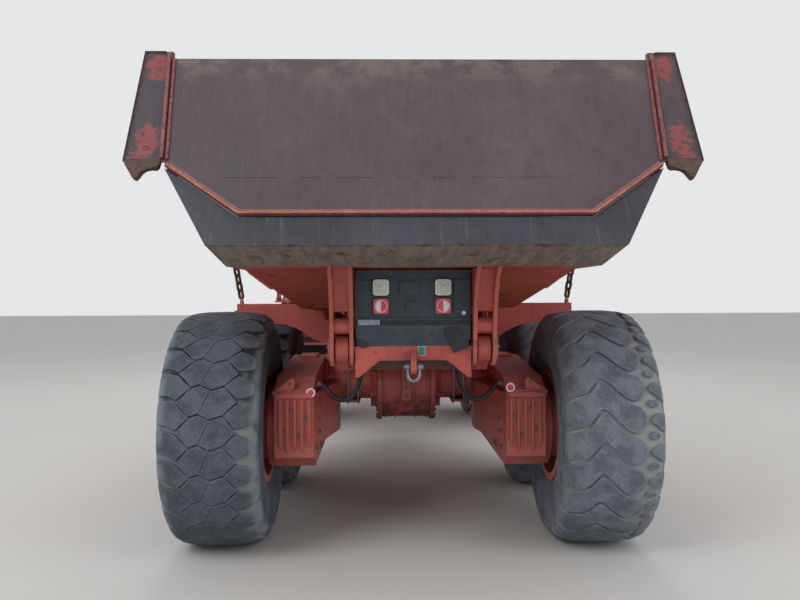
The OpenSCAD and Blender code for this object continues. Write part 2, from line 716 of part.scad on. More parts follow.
// Hood
hood_back_y = cab_front_y + 70;
hood_front_y = front_end_y - 130;
hood_low_z = hood_top_z - 780;
hood_t = 30;
hood_half_w = 760;
hood_bend_y = hood_back_y + 550;
hood_side = [[hood_back_y, hood_low_z], [hood_back_y, hood_top_z], [hood_bend_y, hood_top_z - 20],
             [hood_front_y - 260, hood_top_z - 200], [hood_front_y - 80, hood_top_z - 300],
             [hood_front_y, hood_top_z - 480], [hood_front_y, hood_low_z]];
hood_inner_side = [[hood_back_y - 1, hood_low_z - 1], [hood_back_y - 1, hood_top_z - 30], [hood_bend_y - 5, hood_top_z - 50],
                   [hood_front_y - 270, hood_top_z - 228], [hood_front_y - 105, hood_top_z - 320],
                   [hood_front_y - hood_t, hood_top_z - 488],
                   [hood_front_y - hood_t, hood_low_z - 1]];
louvre_y = hood_back_y + 290;
grille_half_w = 520;
grille_low_z = hood_top_z - 730;
grille_top_z = hood_top_z - 490;
louvre_low_z = hood_top_z - 560;
louvre_top_z = hood_top_z - 280;

function hood_cross(w, top, low) = [[-w, low], [-w, top - 170], [-w + 40, top - 70], [-w + 130, top],
                                    [w - 130, top], [w - 40, top - 70], [w, top - 170], [w, low]];

module hood() {
    color(orange) both_sides()
        x_rod(hood_ear_x - 20, hood_half_w - 90, hood_hinge_y, hood_hinge_z, hood_pin_r);
    color(orange) difference() {
        intersection() {
            side_plate(hood_side, -hood_half_w, hood_half_w);
            cross_plate(hood_cross(hood_half_w, hood_top_z, hood_low_z), hood_back_y, hood_front_y);
        }
        intersection() {
            side_plate(hood_inner_side, -hood_half_w + hood_t, hood_half_w - hood_t);
            cross_plate(hood_cross(hood_half_w - hood_t, hood_top_z - 28, hood_low_z - 1), hood_back_y - 2, hood_front_y);
        }
        block([-grille_half_w, hood_front_y - hood_t - 1, grille_low_z], [grille_half_w, hood_front_y + 1, grille_top_z]);
        for (i = [0 : 7])
            side_plate([[louvre_y + 85 * i, louvre_low_z], [louvre_y + 50 + 85 * i, louvre_low_z],
                        [louvre_y + 80 + 85 * i, louvre_top_z], [louvre_y + 30 + 85 * i, louvre_top_z]],
                       -hood_half_w - 1, hood_half_w + 1);
    }
}

module grille() {
    color(black) {
        difference() {
            block([-grille_half_w + seat, hood_front_y - hood_t, grille_low_z + seat],
                  [grille_half_w - seat, hood_front_y - 6, grille_top_z - seat]);
            block([-grille_half_w + 26, hood_front_y - hood_t - 1, grille_low_z + 26],
                  [grille_half_w - 26, hood_front_y, grille_top_z - 26]);
        }
        for (i = [1 : 5])
            block([-grille_half_w + 25, hood_front_y - hood_t + 4, grille_low_z + 40 * i - 8],
                  [grille_half_w - 25, hood_front_y - 10, grille_low_z + 40 * i + 4]);
        for (x = [-260, 0, 260])
            block([x - 8, hood_front_y - hood_t, grille_low_z + 20], [x + 8, hood_front_y - 8, grille_top_z - 20]);
    }
}

// Cab
cab_back_y = cab_front_y - 1580;
screen_low_z = cab_floor_z + 560;
cab_side = [[cab_back_y, cab_floor_z], [cab_back_y, cab_roof_z - 60], [cab_back_y + 60, cab_roof_z],
            [cab_front_y - 160, cab_roof_z], [cab_front_y - 110, cab_roof_z - 60], [cab_front_y, screen_low_z],
            [cab_front_y, cab_floor_z]];
cab_inner_side = [[cab_back_y + cab_t, cab_floor_z + cab_t], [cab_back_y + cab_t, cab_roof_z - 60 - cab_t],
                  [cab_front_y - 170, cab_roof_z - 60 - cab_t], [cab_front_y - cab_t, screen_low_z],
                  [cab_front_y - cab_t, cab_floor_z + cab_t]];
door_y0 = cab_back_y + 140;
door_y1 = door_y0 + 820;
door_z0 = cab_floor_z + 40;
door_z1 = cab_roof_z - 150;
door_gap = 6;
window_z0 = screen_low_z + 40;
window_z1 = cab_roof_z - 190;
quarter_y0 = door_y1 + 70;
quarter_y1 = cab_front_y - 190;
rear_window_w = 600;
screen_half_w = cab_half_w - 100;
hinge_y = door_y0 - 14;
hinge_x = cab_half_w + 16;
hinge_zs = [door_z0 + 180, door_z1 - 260];

module cab_shell() {
    color(orange) {
        difference() {
            side_plate(cab_side, -cab_half_w, cab_half_w);
            side_plate(cab_inner_side, -cab_half_w + cab_t, cab_half_w - cab_t);
            block([-cab_half_w - 1, door_y0, door_z0], [-cab_half_w + cab_t + 1, door_y1, door_z1]);
            side_windows(0);
            block([-rear_window_w, cab_back_y - 1, window_z0], [rear_window_w, cab_back_y + cab_t + 1, window_z1]);
            block([-screen_half_w, cab_front_y - 300, window_z0 - 20], [screen_half_w, cab_front_y + 1, window_z1]);
        }
        for (z = hinge_zs) {
            z_rod(-hinge_x, hinge_y, z - 60, z - seat, 15);
            block([-hinge_x, hinge_y - 15, z - 60], [-cab_half_w + 1, hinge_y + 5, z - seat]);
        }
        // Roof gutter and lamp bar
        block([-cab_half_w + 80, cab_front_y - 300, cab_roof_z - 1], [cab_half_w - 80, cab_front_y - 240, cab_roof_z + 40]);
    }
}

// Windows of the right side and the left front quarter.
module side_windows(gap) {
    block([cab_half_w - cab_t - 1 + gap * 100, door_y0 + gap, window_z0 + gap],
          [cab_half_w + 1 - gap * 80, quarter_y1 - gap, window_z1 - gap]);
    block([-cab_half_w - 1 + gap * 80, quarter_y0 + gap, window_z0 + gap],
          [-cab_half_w + cab_t + 1 - gap * 100, quarter_y1 - gap, window_z1 - gap]);
}

screen_lean = (cab_front_y - 110 - cab_front_y) / (cab_roof_z - 60 - screen_low_z);
function screen_y(z) = cab_front_y + screen_lean * (z - screen_low_z);

module cab_glass() {
    color("lightblue") {
        side_windows(seat);
        block([-rear_window_w + seat, cab_back_y + 25, window_z0 + seat],
              [rear_window_w - seat, cab_back_y + 33, window_z1 - seat]);
        side_plate([[screen_y(window_z0 - 20) - 34, window_z0 - 20 + seat], [screen_y(window_z0 - 20) - 26, window_z0 - 20 + seat],
                    [screen_y(window_z1) - 26, window_z1 - seat], [screen_y(window_z1) - 34, window_z1 - seat]],
                   -screen_half_w + seat, screen_half_w - seat);
    }
}

floor_top_z = cab_floor_z + cab_t;
seat_y = cab_back_y + 140;
console_y = cab_front_y - 320;
module cab_fittings() {
    color(black) {
        // Seat
        block([-130, seat_y + 180, floor_top_z + seat], [130, seat_y + 440, floor_top_z + 300]);
        block([-250, seat_y + 100, floor_top_z + 299], [250, seat_y + 590, floor_top_z + 430]);
        side_plate([[seat_y + 60, floor_top_z + 380], [seat_y + 190, floor_top_z + 420], [seat_y + 90, floor_top_z + 1080],
                    [seat_y, floor_top_z + 1060]], -240, 240);
        // Console and steering wheel
        side_plate([[console_y, floor_top_z + seat], [console_y + 220, floor_top_z + seat], [console_y + 220, floor_top_z + 520],
                    [console_y + 40, floor_top_z + 560], [console_y - 60, floor_top_z + 480]], -620, 620);
        translate([0, console_y - 120, floor_top_z + 640]) rotate([-40, 0, 0]) {
            rotate_extrude() translate([200, 0]) circle(16);
            translate([0, 0, -190]) cylinder(h = 190, r = 30);
            for (turn = [90, 210, 330]) rotate([0, 0, turn]) translate([0, -14, -8]) cube([198, 28, 16]);
        }
    }
}

door_half_t = cab_t - 4;
module cab_door() {
    color(orange) {
        difference() {
            block([-cab_half_w, door_y0 + door_gap, door_z0 + door_gap],
                  [-cab_half_w + door_half_t, door_y1 - door_gap, door_z1 - door_gap]);
            block([-cab_half_w - 1, door_y0 + 90, window_z0], [-cab_half_w + cab_t, door_y1 - 90, door_z1 - 90]);
        }
        for (z = hinge_zs) {
            z_rod(-hinge_x, hinge_y, z, z + 60, 15);
            block([-hinge_x, hinge_y - 5, z], [-cab_half_w - 1, hinge_y + 30, z + 60]);
            block([-hinge_x + 4, hinge_y + 20, z], [-cab_half_w + 1, hinge_y + 60, z + 60]);
        }
    }
}

module cab_door_glass() {
    color("lightblue")
        block([-cab_half_w + 24, door_y0 + 90 + seat, window_z0 + seat],
              [-cab_half_w + 32, door_y1 - 90 - seat, door_z1 - 90 - seat]);
}

mirror_x = 1380;
mirror_y = cab_front_y - 60;
module mirrors() {
    color(black) both_sides() {
        x_rod(cab_half_w + seat, mirror_x + 10, mirror_y - 20, 2700, 14);
        z_rod(mirror_x, mirror_y - 20, 2340, 2860, 14);
        block([mirror_x - 100, mirror_y - 60, 2400], [mirror_x + 110, mirror_y - 10, 2820]);
    }
}

stack_y = cab_front_y + 200;
module exhaust_stack() {
    color(steel) {
        z_rod(860, stack_y, 1560, 2500, 75);
        z_rod(860, stack_y, 2499, 3300, 48);
        for (z = [1900, 2380])
            block([cab_half_w + seat, cab_front_y - 130, z], [cab_half_w + 50, stack_y + 10, z + 50]);
    }
}

// Dump body. Outlines over x and z, and over y and z.
lip_z = 1970;
lip_low_z = 1875;
bolster_top_z = 2118;
knee_x = half_w - 230;
knee_z = 2400;
top_x = half_w - 170;
lip_x = half_w - 500;
lip_low_x = lip_x - 30;
gate_low_x = half_w - 650;
rail_side = 55;
lean = 0.6;
lean_cos = 1 / sqrt(1 + lean * lean);
gate_run = (gate_t + gate_gap) / lean_cos;
function lean_y(z, shift) = tail_y + lean * (z - lip_z) + shift;
function wall_x(z) = z < lip_low_z ? body_half_w + (lip_low_x - body_half_w) * (z - body_bottom_z) / (lip_low_z - body_bottom_z)
    : z < lip_z ? lip_low_x + (lip_x - lip_low_x) * (z - lip_low_z) / (lip_z - lip_low_z)
    : z < knee_z ? lip_x + (knee_x - lip_x) * (z - lip_z) / (knee_z - lip_z)
    : knee_x + (top_x - knee_x) * (z - knee_z) / (body_top_z - knee_z);

function body_cross(t, low, top) = [
    [-body_half_w + t, low], [-lip_low_x + t, lip_low_z + t * 0.6], [-lip_x + t, lip_z + t * 0.3], [-knee_x + t, knee_z],
    [-wall_x(top) + t, top], [wall_x(top) - t, top], [knee_x - t, knee_z], [lip_x - t, lip_z + t * 0.3],
    [lip_low_x - t, lip_low_z + t * 0.6], [body_half_w - t, low]];

guard_z = 3300;
under_points = [[tail_y + 400, lip_low_z], [tail_y + 1010, lip_low_z], [tail_y + 1660, body_bottom_z]];
body_side = concat([[lean_y(lip_z, 0), lip_z]], under_points,
    [[body_front_y - 220, body_bottom_z], [body_front_y, guard_z], [body_front_y - 420, guard_z],
     [body_front_y - 800, body_top_z], [lean_y(body_top_z, 0), body_top_z]]);
bolster_l = 300;
floor_side = [[tail_y - 200, bolster_top_z], [tail_y + bolster_l, bolster_top_z],
    [tail_y + 720, lip_low_z + floor_t], [tail_y + 1030, lip_low_z + floor_t],
    [tail_y + 1680, body_bottom_z + floor_t], [body_front_y - 220 - wall_t, body_bottom_z + floor_t],
    [body_front_y - wall_t, guard_z + 1], [tail_y - 200, guard_z + 1]];

module body_solid() {
    intersection() {
        side_plate(body_side, -half_w, half_w);
        cross_plate(body_cross(0, body_bottom_z, guard_z), tail_y - 1, body_front_y + 1);
    }
}

// Everything behind the leaning plane that is shifted forward by shift.
module behind_lean(shift) {
    side_plate([[lean_y(bolster_top_z, shift), bolster_top_z], [lean_y(3400, shift), 3400],
                [tail_y - 900, 3400], [tail_y - 900, bolster_top_z]], -half_w - 1, half_w + 1);
}

module gate_zone(gap) {
    cross_plate([[-gate_low_x, bolster_top_z + gap], [gate_low_x, bolster_top_z + gap], [knee_x + gap, knee_z + gap],
                 [half_w + 20, knee_z + gap], [half_w + 20, 3400], [-half_w - 20, 3400], [-half_w - 20, knee_z + gap],
                 [-knee_x - gap, knee_z + gap]], tail_y - 1000, body_front_y + 10);
}

module dump_body() {
    color(worn) difference() {
        union() {
            difference() {
                body_solid();
                intersection() {
                    side_plate(floor_side, -half_w, half_w);
                    cross_plate(body_cross(wall_t, body_bottom_z + floor_t - 40, guard_z + 1), tail_y - 200, body_front_y + 1);
                    union() {
                        gate_zone(0);
                        block([-half_w, tail_y + bolster_l, body_bottom_z], [half_w, body_front_y, guard_z + 1]);
                    }
                }
                intersection() {
                    behind_lean(gate_run);
                    gate_zone(0);
                }
            }
            both_sides() {
                // Upper rail of the side wall
                block([top_x - 15, lean_y(body_top_z, gate_run), body_top_z - 110],
                      [top_x + rail_side, body_front_y - 800, body_top_z]);
                // Bearing and pin of the tailgate's arm
                x_rod(knee_x, top_x + rail_side, gate_pin_y, gate_pin_z, 62);
                x_rod(knee_x, half_w - 6, gate_pin_y, gate_pin_z, gate_pin_r);
                tip_arm(arm_in_x, arm_in_x + arm_t);
                tip_arm(arm_out_x - arm_t, arm_out_x);
                hoist_ears();
                // Ribs of the side wall
                for (y = [-3500, -2000, -1100, -300])
                    intersection() {
                        block([body_half_w - 160, y - 45, body_bottom_z], [half_w - 90, y + 45, body_top_z - 100]);
                        cross_plate(rib_cross(), y - 45, y + 45);
                    }
            }
        }
        both_sides() {
            x_rod(arm_in_x - 5, arm_out_x + 20, tip_y, tip_z, tip_pin_r + 1);
        }
    }
}

function rib_cross() = [
    [wall_x(1760), 1760], [wall_x(1760) + 30, 1755], [lip_low_x + 45, 1865], [lip_x + 45, lip_z - 15], [knee_x + 40, knee_z - 10],
    [top_x + 45, body_top_z - 105], [top_x - 20, body_top_z - 105], [knee_x - 20, knee_z], [lip_x - 20, lip_z], [lip_low_x - 20, 1885]];

// Curved arm from the tipping hinge up to the floor.
module tip_arm(x0, x1) {
    side_plate([[tip_y - 105, tip_z - 10], [tip_y - 108, 1500], [tip_y - 140, 1640], [tip_y - 220, 1790],
                [tip_y - 330, 1880], [tip_y + 330, 1880], [tip_y + 200, 1760], [tip_y + 115, 1600],
                [tip_y + 105, 1500], [tip_y + 105, tip_z - 10]], x0, x1);
    x_rod(x0, x1, tip_y, tip_z, 105);
}

module hoist_ears() {
    for (x = [hoist_x - hoist_ear_gap - 22, hoist_x + hoist_ear_gap])
        side_plate([[hoist_top_y - 110, body_bottom_z + 1], [hoist_top_y - 50, hoist_top_z - 50],
                    [hoist_top_y + 50, hoist_top_z - 50], [hoist_top_y + 110, body_bottom_z + 1]], x, x + 22);
}

// Tailgate and its arms
gate_pin_y = outrigger_y - 170;
gate_pin_z = 2850;
gate_pin_r = 30;
arm_x0 = top_x + rail_side + 12;
function gate_edge_x(z) = knee_x + (top_x - knee_x) * (z - knee_z - gate_gap) / (body_top_z + 10 - knee_z - gate_gap);
arm_x1 = half_w - 20;

module lean_slab(t, x0, x1, z0, z1) {
    side_plate([[lean_y(z0, 0), z0], [lean_y(z1, 0), z1], [lean_y(z1, t / lean_cos), z1],
                [lean_y(z0, t / lean_cos), z0]], x0, x1);
}

module tailgate() {
    color(worn) intersection() {
        union() {
            lean_slab(gate_t, -half_w, half_w, bolster_top_z, body_top_z + 20);
            lean_slab(gate_t + 5, -gate_low_x, gate_low_x, bolster_top_z, bolster_top_z + 45);
        }
        cross_plate([[-gate_low_x, bolster_top_z + gate_gap], [gate_low_x, bolster_top_z + gate_gap],
                     [knee_x, knee_z + gate_gap], [top_x, body_top_z + 10], [-top_x, body_top_z + 10],
                     [-knee_x, knee_z + gate_gap]], tail_y - 100, tail_y + 1500);
    }
}

ear_z0 = 2440;
ear_z1 = 3160;
module tailgate_arms() {
    color(worn) both_sides() {
        difference() {
            union() {
                // Rear plate beside the gate
                intersection() {
                    lean_slab(gate_t, knee_x - 50, half_w, ear_z0, ear_z1);
                    cross_plate([[gate_edge_x(ear_z0) + seat, ear_z0], [half_w, ear_z0], [half_w, ear_z1],
                                 [gate_edge_x(ear_z1) + seat, ear_z1]], tail_y - 100, tail_y + 1500);
                }
                lean_slab(150, half_w - 24, half_w, ear_z0, ear_z1);
                lean_slab(120, arm_x0, half_w, ear_z0, ear_z0 + 24);
                side_plate([[lean_y(2860, 20), 2860], [lean_y(3060, 20), 3060], [gate_pin_y, gate_pin_z + 100],
                            [gate_pin_y + 120, gate_pin_z + 60], [finger_y, 2600], [finger_y, 2530], [finger_y - 70, 2530],
                            [gate_pin_y + 40, gate_pin_z - 95], [gate_pin_y - 60, gate_pin_z - 100]],
                           arm_x0 + 10, arm_x1 - 10);
                x_rod(arm_x0, arm_x1, gate_pin_y, gate_pin_z, 90);
            }
            x_rod(arm_x0 - 1, half_w + 1, gate_pin_y, gate_pin_z, gate_pin_r + 1);
        }
    }
}

rear_frame();
rear_axle();
bogie(-1);  // bogie_left
bogie(1);  // bogie_right
tail_panel();
rear_lamps();
tow_shackle();
tail_chains();
brake_hoses();
hitch();
front_frame();
front_axle();
engine_block();
bumper();
front_lamps();
fenders();
cab_shell();
cab_glass();
cab_fittings();
cab_door();
cab_door_glass();
mirrors();
exhaust_stack();
side_tanks();
hood();
grille();
dump_body();
tailgate();
tailgate_arms();
hoist_barrel(-1);  // hoist_barrel_left
hoist_barrel(1);  // hoist_barrel_right
hoist_rod(-1);  // hoist_rod_left
hoist_rod(1);  // hoist_rod_right
steer_barrel(-1);  // steer_barrel_left
steer_barrel(1);  // steer_barrel_right
steer_rod(-1);  // steer_rod_left
steer_rod(1);  // steer_rod_right
tyre(-1, rear_wheel_y);  // tyre_rear_left
tyre(1, rear_wheel_y);  // tyre_rear_right
tyre(-1, mid_wheel_y);  // tyre_mid_left
tyre(1, mid_wheel_y);  // tyre_mid_right
tyre(-1, front_axle_y);  // tyre_front_left
tyre(1, front_axle_y);  // tyre_front_right
rim(-1, rear_wheel_y);  // rim_rear_left
rim(1, rear_wheel_y);  // rim_rear_right
rim(-1, mid_wheel_y);  // rim_mid_left
rim(1, mid_wheel_y);  // rim_mid_right
rim(-1, front_axle_y);  // rim_front_left
rim(1, front_axle_y);  // rim_front_right
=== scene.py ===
import bpy
import bmesh
import math
import random
from mathutils import Vector, Matrix


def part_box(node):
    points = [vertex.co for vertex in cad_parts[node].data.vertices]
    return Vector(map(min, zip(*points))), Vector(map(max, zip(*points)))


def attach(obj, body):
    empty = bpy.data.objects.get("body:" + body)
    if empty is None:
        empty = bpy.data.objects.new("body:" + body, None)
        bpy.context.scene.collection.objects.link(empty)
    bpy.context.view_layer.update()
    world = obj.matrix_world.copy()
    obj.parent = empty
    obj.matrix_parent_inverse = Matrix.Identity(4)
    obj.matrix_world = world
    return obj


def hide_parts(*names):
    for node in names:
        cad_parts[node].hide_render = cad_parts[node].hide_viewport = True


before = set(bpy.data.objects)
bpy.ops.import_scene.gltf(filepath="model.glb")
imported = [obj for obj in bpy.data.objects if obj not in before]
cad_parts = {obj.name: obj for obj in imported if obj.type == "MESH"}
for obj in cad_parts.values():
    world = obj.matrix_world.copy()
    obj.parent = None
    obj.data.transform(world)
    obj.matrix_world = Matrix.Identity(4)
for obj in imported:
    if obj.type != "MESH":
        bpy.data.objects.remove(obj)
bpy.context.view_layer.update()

# The camera stands behind the truck at eye height, a little left of its middle
cameraSettings = {"place": (-0.182, -9.013, 1.717), "yawRight": 0.0219, "pitch": -0.007, "roll": -0.004, "lensMm": 36.0,
    "sensorMm": 36.0}

# Softboxes are given as place, target, size and power
lightSettings = {"skyStrength": 0.62, "backdrop": "#e6e7e8",
    "boxes": {"keyBox": ((-7, -11, 8), (0, -3, 1.5), 6, 620), "fillBox": ((8, -9, 4), (0, -3, 1.5), 6, 300),
    "topBox": ((0, 4, 11), (0, 1, 1), 8, 420)}}


def hexColor(text):
    values = [int(text[i:i + 2], 16) / 255 for i in (1, 3, 5)]
    return [v / 12.92 if v <= 0.04045 else ((v + 0.055) / 1.055) ** 2.4 for v in values] + [1.0]


# Feeds the inputs of a node. A link is given as a socket, a colour as hex, anything else is set as a value
def feed(tree, node, inputs):
    for socket, source in inputs.items():
        if isinstance(source, bpy.types.NodeSocket):
            tree.links.new(source, node.inputs[socket])
        elif isinstance(source, str) and source.startswith("#"):
            node.inputs[socket].default_value = hexColor(source)
        else:
            node.inputs[socket].default_value = source
    return node


def add(tree, kind, inputs=None, **settings):
    node = tree.nodes.new(kind)
    for name, value in settings.items():
        setattr(node, name, value)
    return feed(tree, node, inputs or {})


def newMaterial(name):
    material = bpy.data.materials.new(name)
    material.use_nodes = True
    tree = material.node_tree
    tree.nodes.clear()
    shader = add(tree, "ShaderNodeBsdfPrincipled")
    add(tree, "ShaderNodeOutputMaterial", {"Surface": shader.outputs[0]})
    return material, tree, shader, add(tree, "ShaderNodeTexCoord").outputs["Object"]


# Nodes that the materials use often, by a short name: type, settings, inputs in order with their defaults, output
shortKinds = {
    "noise": ("ShaderNodeTexNoise", {}, {"Vector": None, "Scale": 5.0, "Detail": 6.0, "Roughness": 0.55}, "Fac"),
    "stretch": ("ShaderNodeMapping", {}, {"Vector": None, "Scale": None}, 0),
    "between": ("ShaderNodeMapRange", {"interpolation_type": "SMOOTHSTEP"},
        {"Value": None, "From Min": 0.0, "From Max": 1.0, "To Min": 0.0, "To Max": 1.0}, 0),
    "mixColor": ("ShaderNodeMix", {"data_type": "RGBA"}, {0: None, 6: None, 7: None}, 2)}
for operation in ("ADD", "MULTIPLY", "MAXIMUM", "SUBTRACT", "ABSOLUTE", "MULTIPLY_ADD"):
    clamped = operation in ("ADD", "MULTIPLY", "MAXIMUM")  # masks stay between 0 and 1
    shortKinds[operation] = ("ShaderNodeMath", {"operation": operation, "use_clamp": clamped},
        {0: None, 1: None, 2: None}, 0)


# Adds a node by its short name, with its values in order, and gives its output
def wire(tree, short, *values):
    kind, settings, inputs, output = shortKinds[short]
    given = {name: start for name, start in inputs.items() if start is not None}
    given.update(zip(inputs, values))
    return add(tree, kind, given, **settings).outputs[output]


def times(tree, *masks):
    product = masks[0]
    for mask in masks[1:]:
        product = wire(tree, "MULTIPLY", product, mask)
    return product


# How sharp an edge is close to a point, 0 on flats and 1 on corners
def edgeMask(tree, widthMm, low=0.02, high=0.16):
    soft = add(tree, "ShaderNodeBevel", {"Radius": widthMm / 1000}, samples=4).outputs[0]
    flat = add(tree, "ShaderNodeNewGeometry").outputs["Normal"]
    dot = add(tree, "ShaderNodeVectorMath", {0: soft, 1: flat}, operation="DOT_PRODUCT").outputs["Value"]
    return wire(tree, "between", wire(tree, "SUBTRACT", 1.0, dot), low, high)


# Alkyd enamel sprayed on steel plate, years outdoors: faded, chipped to rust at its edges, dust on its upper faces
def paintedSteel(name, look):
    material, tree, shader, coords = newMaterial(name)
    patches = wire(tree, "noise", coords, look.get("patchScale", 1.6), 5.0)
    spots = wire(tree, "noise", coords, look.get("spotScale", 11.0), 9.0, 0.68)
    grit = wire(tree, "noise", coords, 160.0, 4.0, 0.7)
    runs = wire(tree, "noise", wire(tree, "stretch", coords, (15.0, 15.0, 1.1)), 1.0, 5.0, 0.6)
    edge = edgeMask(tree, look.get("edgeMm", 9))
    color = wire(tree, "mixColor", wire(tree, "between", patches, 0.36, 0.66), look["paint"], look["faded"])
    color = wire(tree, "mixColor", times(tree, wire(tree, "between", runs, 0.46, 0.74), look.get("runs", 0.45)), color,
        look["grime"])
    if "second" in look:  # another coat that lies on some places only
        color = look["second"](tree, coords, color, spots)
    if "rubbedAndHighlight" in look:  # edges rubbed to the brighter paint, partly a painted highlight along the edges
        color = wire(tree, "mixColor", times(tree, edge, 0.55), color, look["rubbedAndHighlight"])
    chips = wire(tree, "ADD", spots, times(tree, edge, look.get("edgeWear", 0.16)))
    rust = wire(tree, "between", chips, look.get("rustFrom", 0.60), look.get("rustFrom", 0.60) + 0.05)
    rustColor = wire(tree, "mixColor", wire(tree, "between", grit, 0.35, 0.65), look["rust"], look["rustDark"])
    color = wire(tree, "mixColor", times(tree, rust, look.get("rustShow", 0.9)), color, rustColor)
    up = add(tree, "ShaderNodeSeparateXYZ", {0: add(tree, "ShaderNodeNewGeometry").outputs["Normal"]}).outputs["Z"]
    dust = times(tree, wire(tree, "between", up, 0.35, 0.95), wire(tree, "between", spots, 0.30, 0.60, 0.45, 0.95))
    height = add(tree, "ShaderNodeSeparateXYZ", {0: coords}).outputs["Z"]
    mud = times(tree, wire(tree, "between", height, look.get("mudTop", 1.3), 0.25),
        wire(tree, "between", spots, 0.40, 0.62))
    dust = times(tree, wire(tree, "MAXIMUM", dust, mud), look.get("dustShow", 0.6))
    color = wire(tree, "mixColor", dust, color, look.get("dust", "#8d8378"))
    rough = wire(tree, "ADD", times(tree, wire(tree, "MAXIMUM", rust, dust), 0.3), look.get("roughness", 0.46))
    relief = wire(tree, "ADD", times(tree, grit, 0.35), times(tree, rust, -0.3))
    bump = add(tree, "ShaderNodeBump", {"Height": relief, "Strength": look.get("bump", 0.35), "Distance": 0.002})
    feed(tree, shader, {"Base Color": color, "Roughness": rough, "Normal": bump.outputs[0]})
    return material


orangeLook = dict(paint="#a8443a", faded="#b5564a", rubbedAndHighlight="#cf7058", grime="#6e3835", rust="#4f3a34",
    rustDark="#2c2a2b", dust="#94796a", rustFrom=0.62, roughness=0.44, dustShow=0.5, runs=0.4)
gateLook = dict(paint="#43393f", faded="#53464b", grime="#342e36", rust="#6a4a3a", rustDark="#43332f", dust="#6f655e",
    rustFrom=0.61, rustShow=0.5, edgeWear=0.10, roughness=0.55, dustShow=0.3, runs=0.6, mudTop=0.3, bump=0.5)
bodyLook = dict(gateLook, paint="#272934", faded="#363843", grime="#1d1f28", rust="#574338", dust="#6d6154")
earLook = dict(gateLook, paint="#37313a", faded="#463a40", grime="#2b272d", rust="#8c4636", rustDark="#5c3a30",
    rustFrom=0.60, edgeWear=0.3, rustShow=0.85)
primerLook = dict(orangeLook, paint="#7a3b3c", faded="#8a4745", rubbedAndHighlight="#96504a", grime="#5a343a", rust="#463236",
    rustDark="#33292c", rustFrom=0.53, edgeWear=0.05, rustShow=0.8, roughness=0.6, patchScale=7.0, spotScale=38.0)
hookLook = dict(orangeLook, paint="#46342e", faded="#5c4030", grime="#2d2726", rubbedAndHighlight="#6f4a38", rust="#4a3a30",
    rustDark="#2e2a26", rustFrom=0.50, roughness=0.75, bump=0.8, spotScale=30.0)


# Red enamel on the arms, the underside and the outer faces of the body, clay on its slanted tail, bare plate elsewhere
def bodyCoats(tree, coords, color, spots):
    place = add(tree, "ShaderNodeSeparateXYZ", {0: coords})
    facing = add(tree, "ShaderNodeTexCoord").outputs["Normal"]
    normal = add(tree, "ShaderNodeSeparateXYZ", {0: facing})
    outward = times(tree, place.outputs["X"], normal.outputs["X"])
    coated = wire(tree, "MAXIMUM", wire(tree, "between", outward, 0.08, 0.25),
        wire(tree, "between", normal.outputs["Z"], -0.25, -0.5))
    coated = wire(tree, "MAXIMUM", coated, wire(tree, "between", place.outputs["Z"], 1.872, 1.866))
    coated = times(tree, coated, wire(tree, "between", place.outputs["Y"], -4.56, -4.53))
    toMiddle = add(tree, "ShaderNodeVectorMath", {0: (0.0, -2.2, 2.4), 1: coords}, operation="SUBTRACT").outputs[0]
    toMiddle = add(tree, "ShaderNodeVectorMath", {0: toMiddle}, operation="NORMALIZE").outputs[0]
    inwards = add(tree, "ShaderNodeVectorMath", {0: toMiddle, 1: facing}, operation="DOT_PRODUCT").outputs["Value"]
    side = wire(tree, "ABSOLUTE", place.outputs["X"])
    inside = times(tree, wire(tree, "between", inwards, 0.20, 0.27),
        wire(tree, "between", place.outputs["Z"], 1.66, 1.67), wire(tree, "between", side, 0.99, 0.97))
    coated = times(tree, coated, wire(tree, "SUBTRACT", 1.0, inside))  # the load keeps the floor bare
    worn = wire(tree, "between", wire(tree, "ADD", spots, times(tree, wire(tree, "noise", coords, 2.2, 4.0), 0.35)),
        0.76, 0.84)
    enamel = wire(tree, "mixColor", wire(tree, "noise", coords, 1.4, 5.0), "#a34a3c", "#b0604d")
    enamel = wire(tree, "mixColor", times(tree, worn, 0.8), enamel, "#4f3c3a")
    color = wire(tree, "mixColor", coated, color, enamel)
    streaks = wire(tree, "noise", wire(tree, "stretch", coords, (30.0, 5.0, 4.0)), 1.0, 6.0, 0.65)
    clay = wire(tree, "mixColor", wire(tree, "between", streaks, 0.35, 0.65), "#685e58", "#8a7a68")
    clay = wire(tree, "mixColor", wire(tree, "between", spots, 0.52, 0.62), clay, "#6b4a3c")
    low = times(tree, wire(tree, "between", wire(tree, "MULTIPLY_ADD", spots, 0.02, place.outputs["Z"]), 1.984, 1.972),
        wire(tree, "between", place.outputs["Y"], -4.52, -4.56))
    color = wire(tree, "mixColor", times(tree, low, 0.92), color, clay)
    scratches = wire(tree, "between", wire(tree, "noise", wire(tree, "stretch", coords, (60.0, 3.0, 2.2)), 1.0, 7.0,
        0.7), 0.56, 0.70)
    dusty = times(tree, scratches, wire(tree, "between", normal.outputs["Y"], -0.3, -0.6), 0.45)
    return wire(tree, "mixColor", dusty, color, "#6c6662")


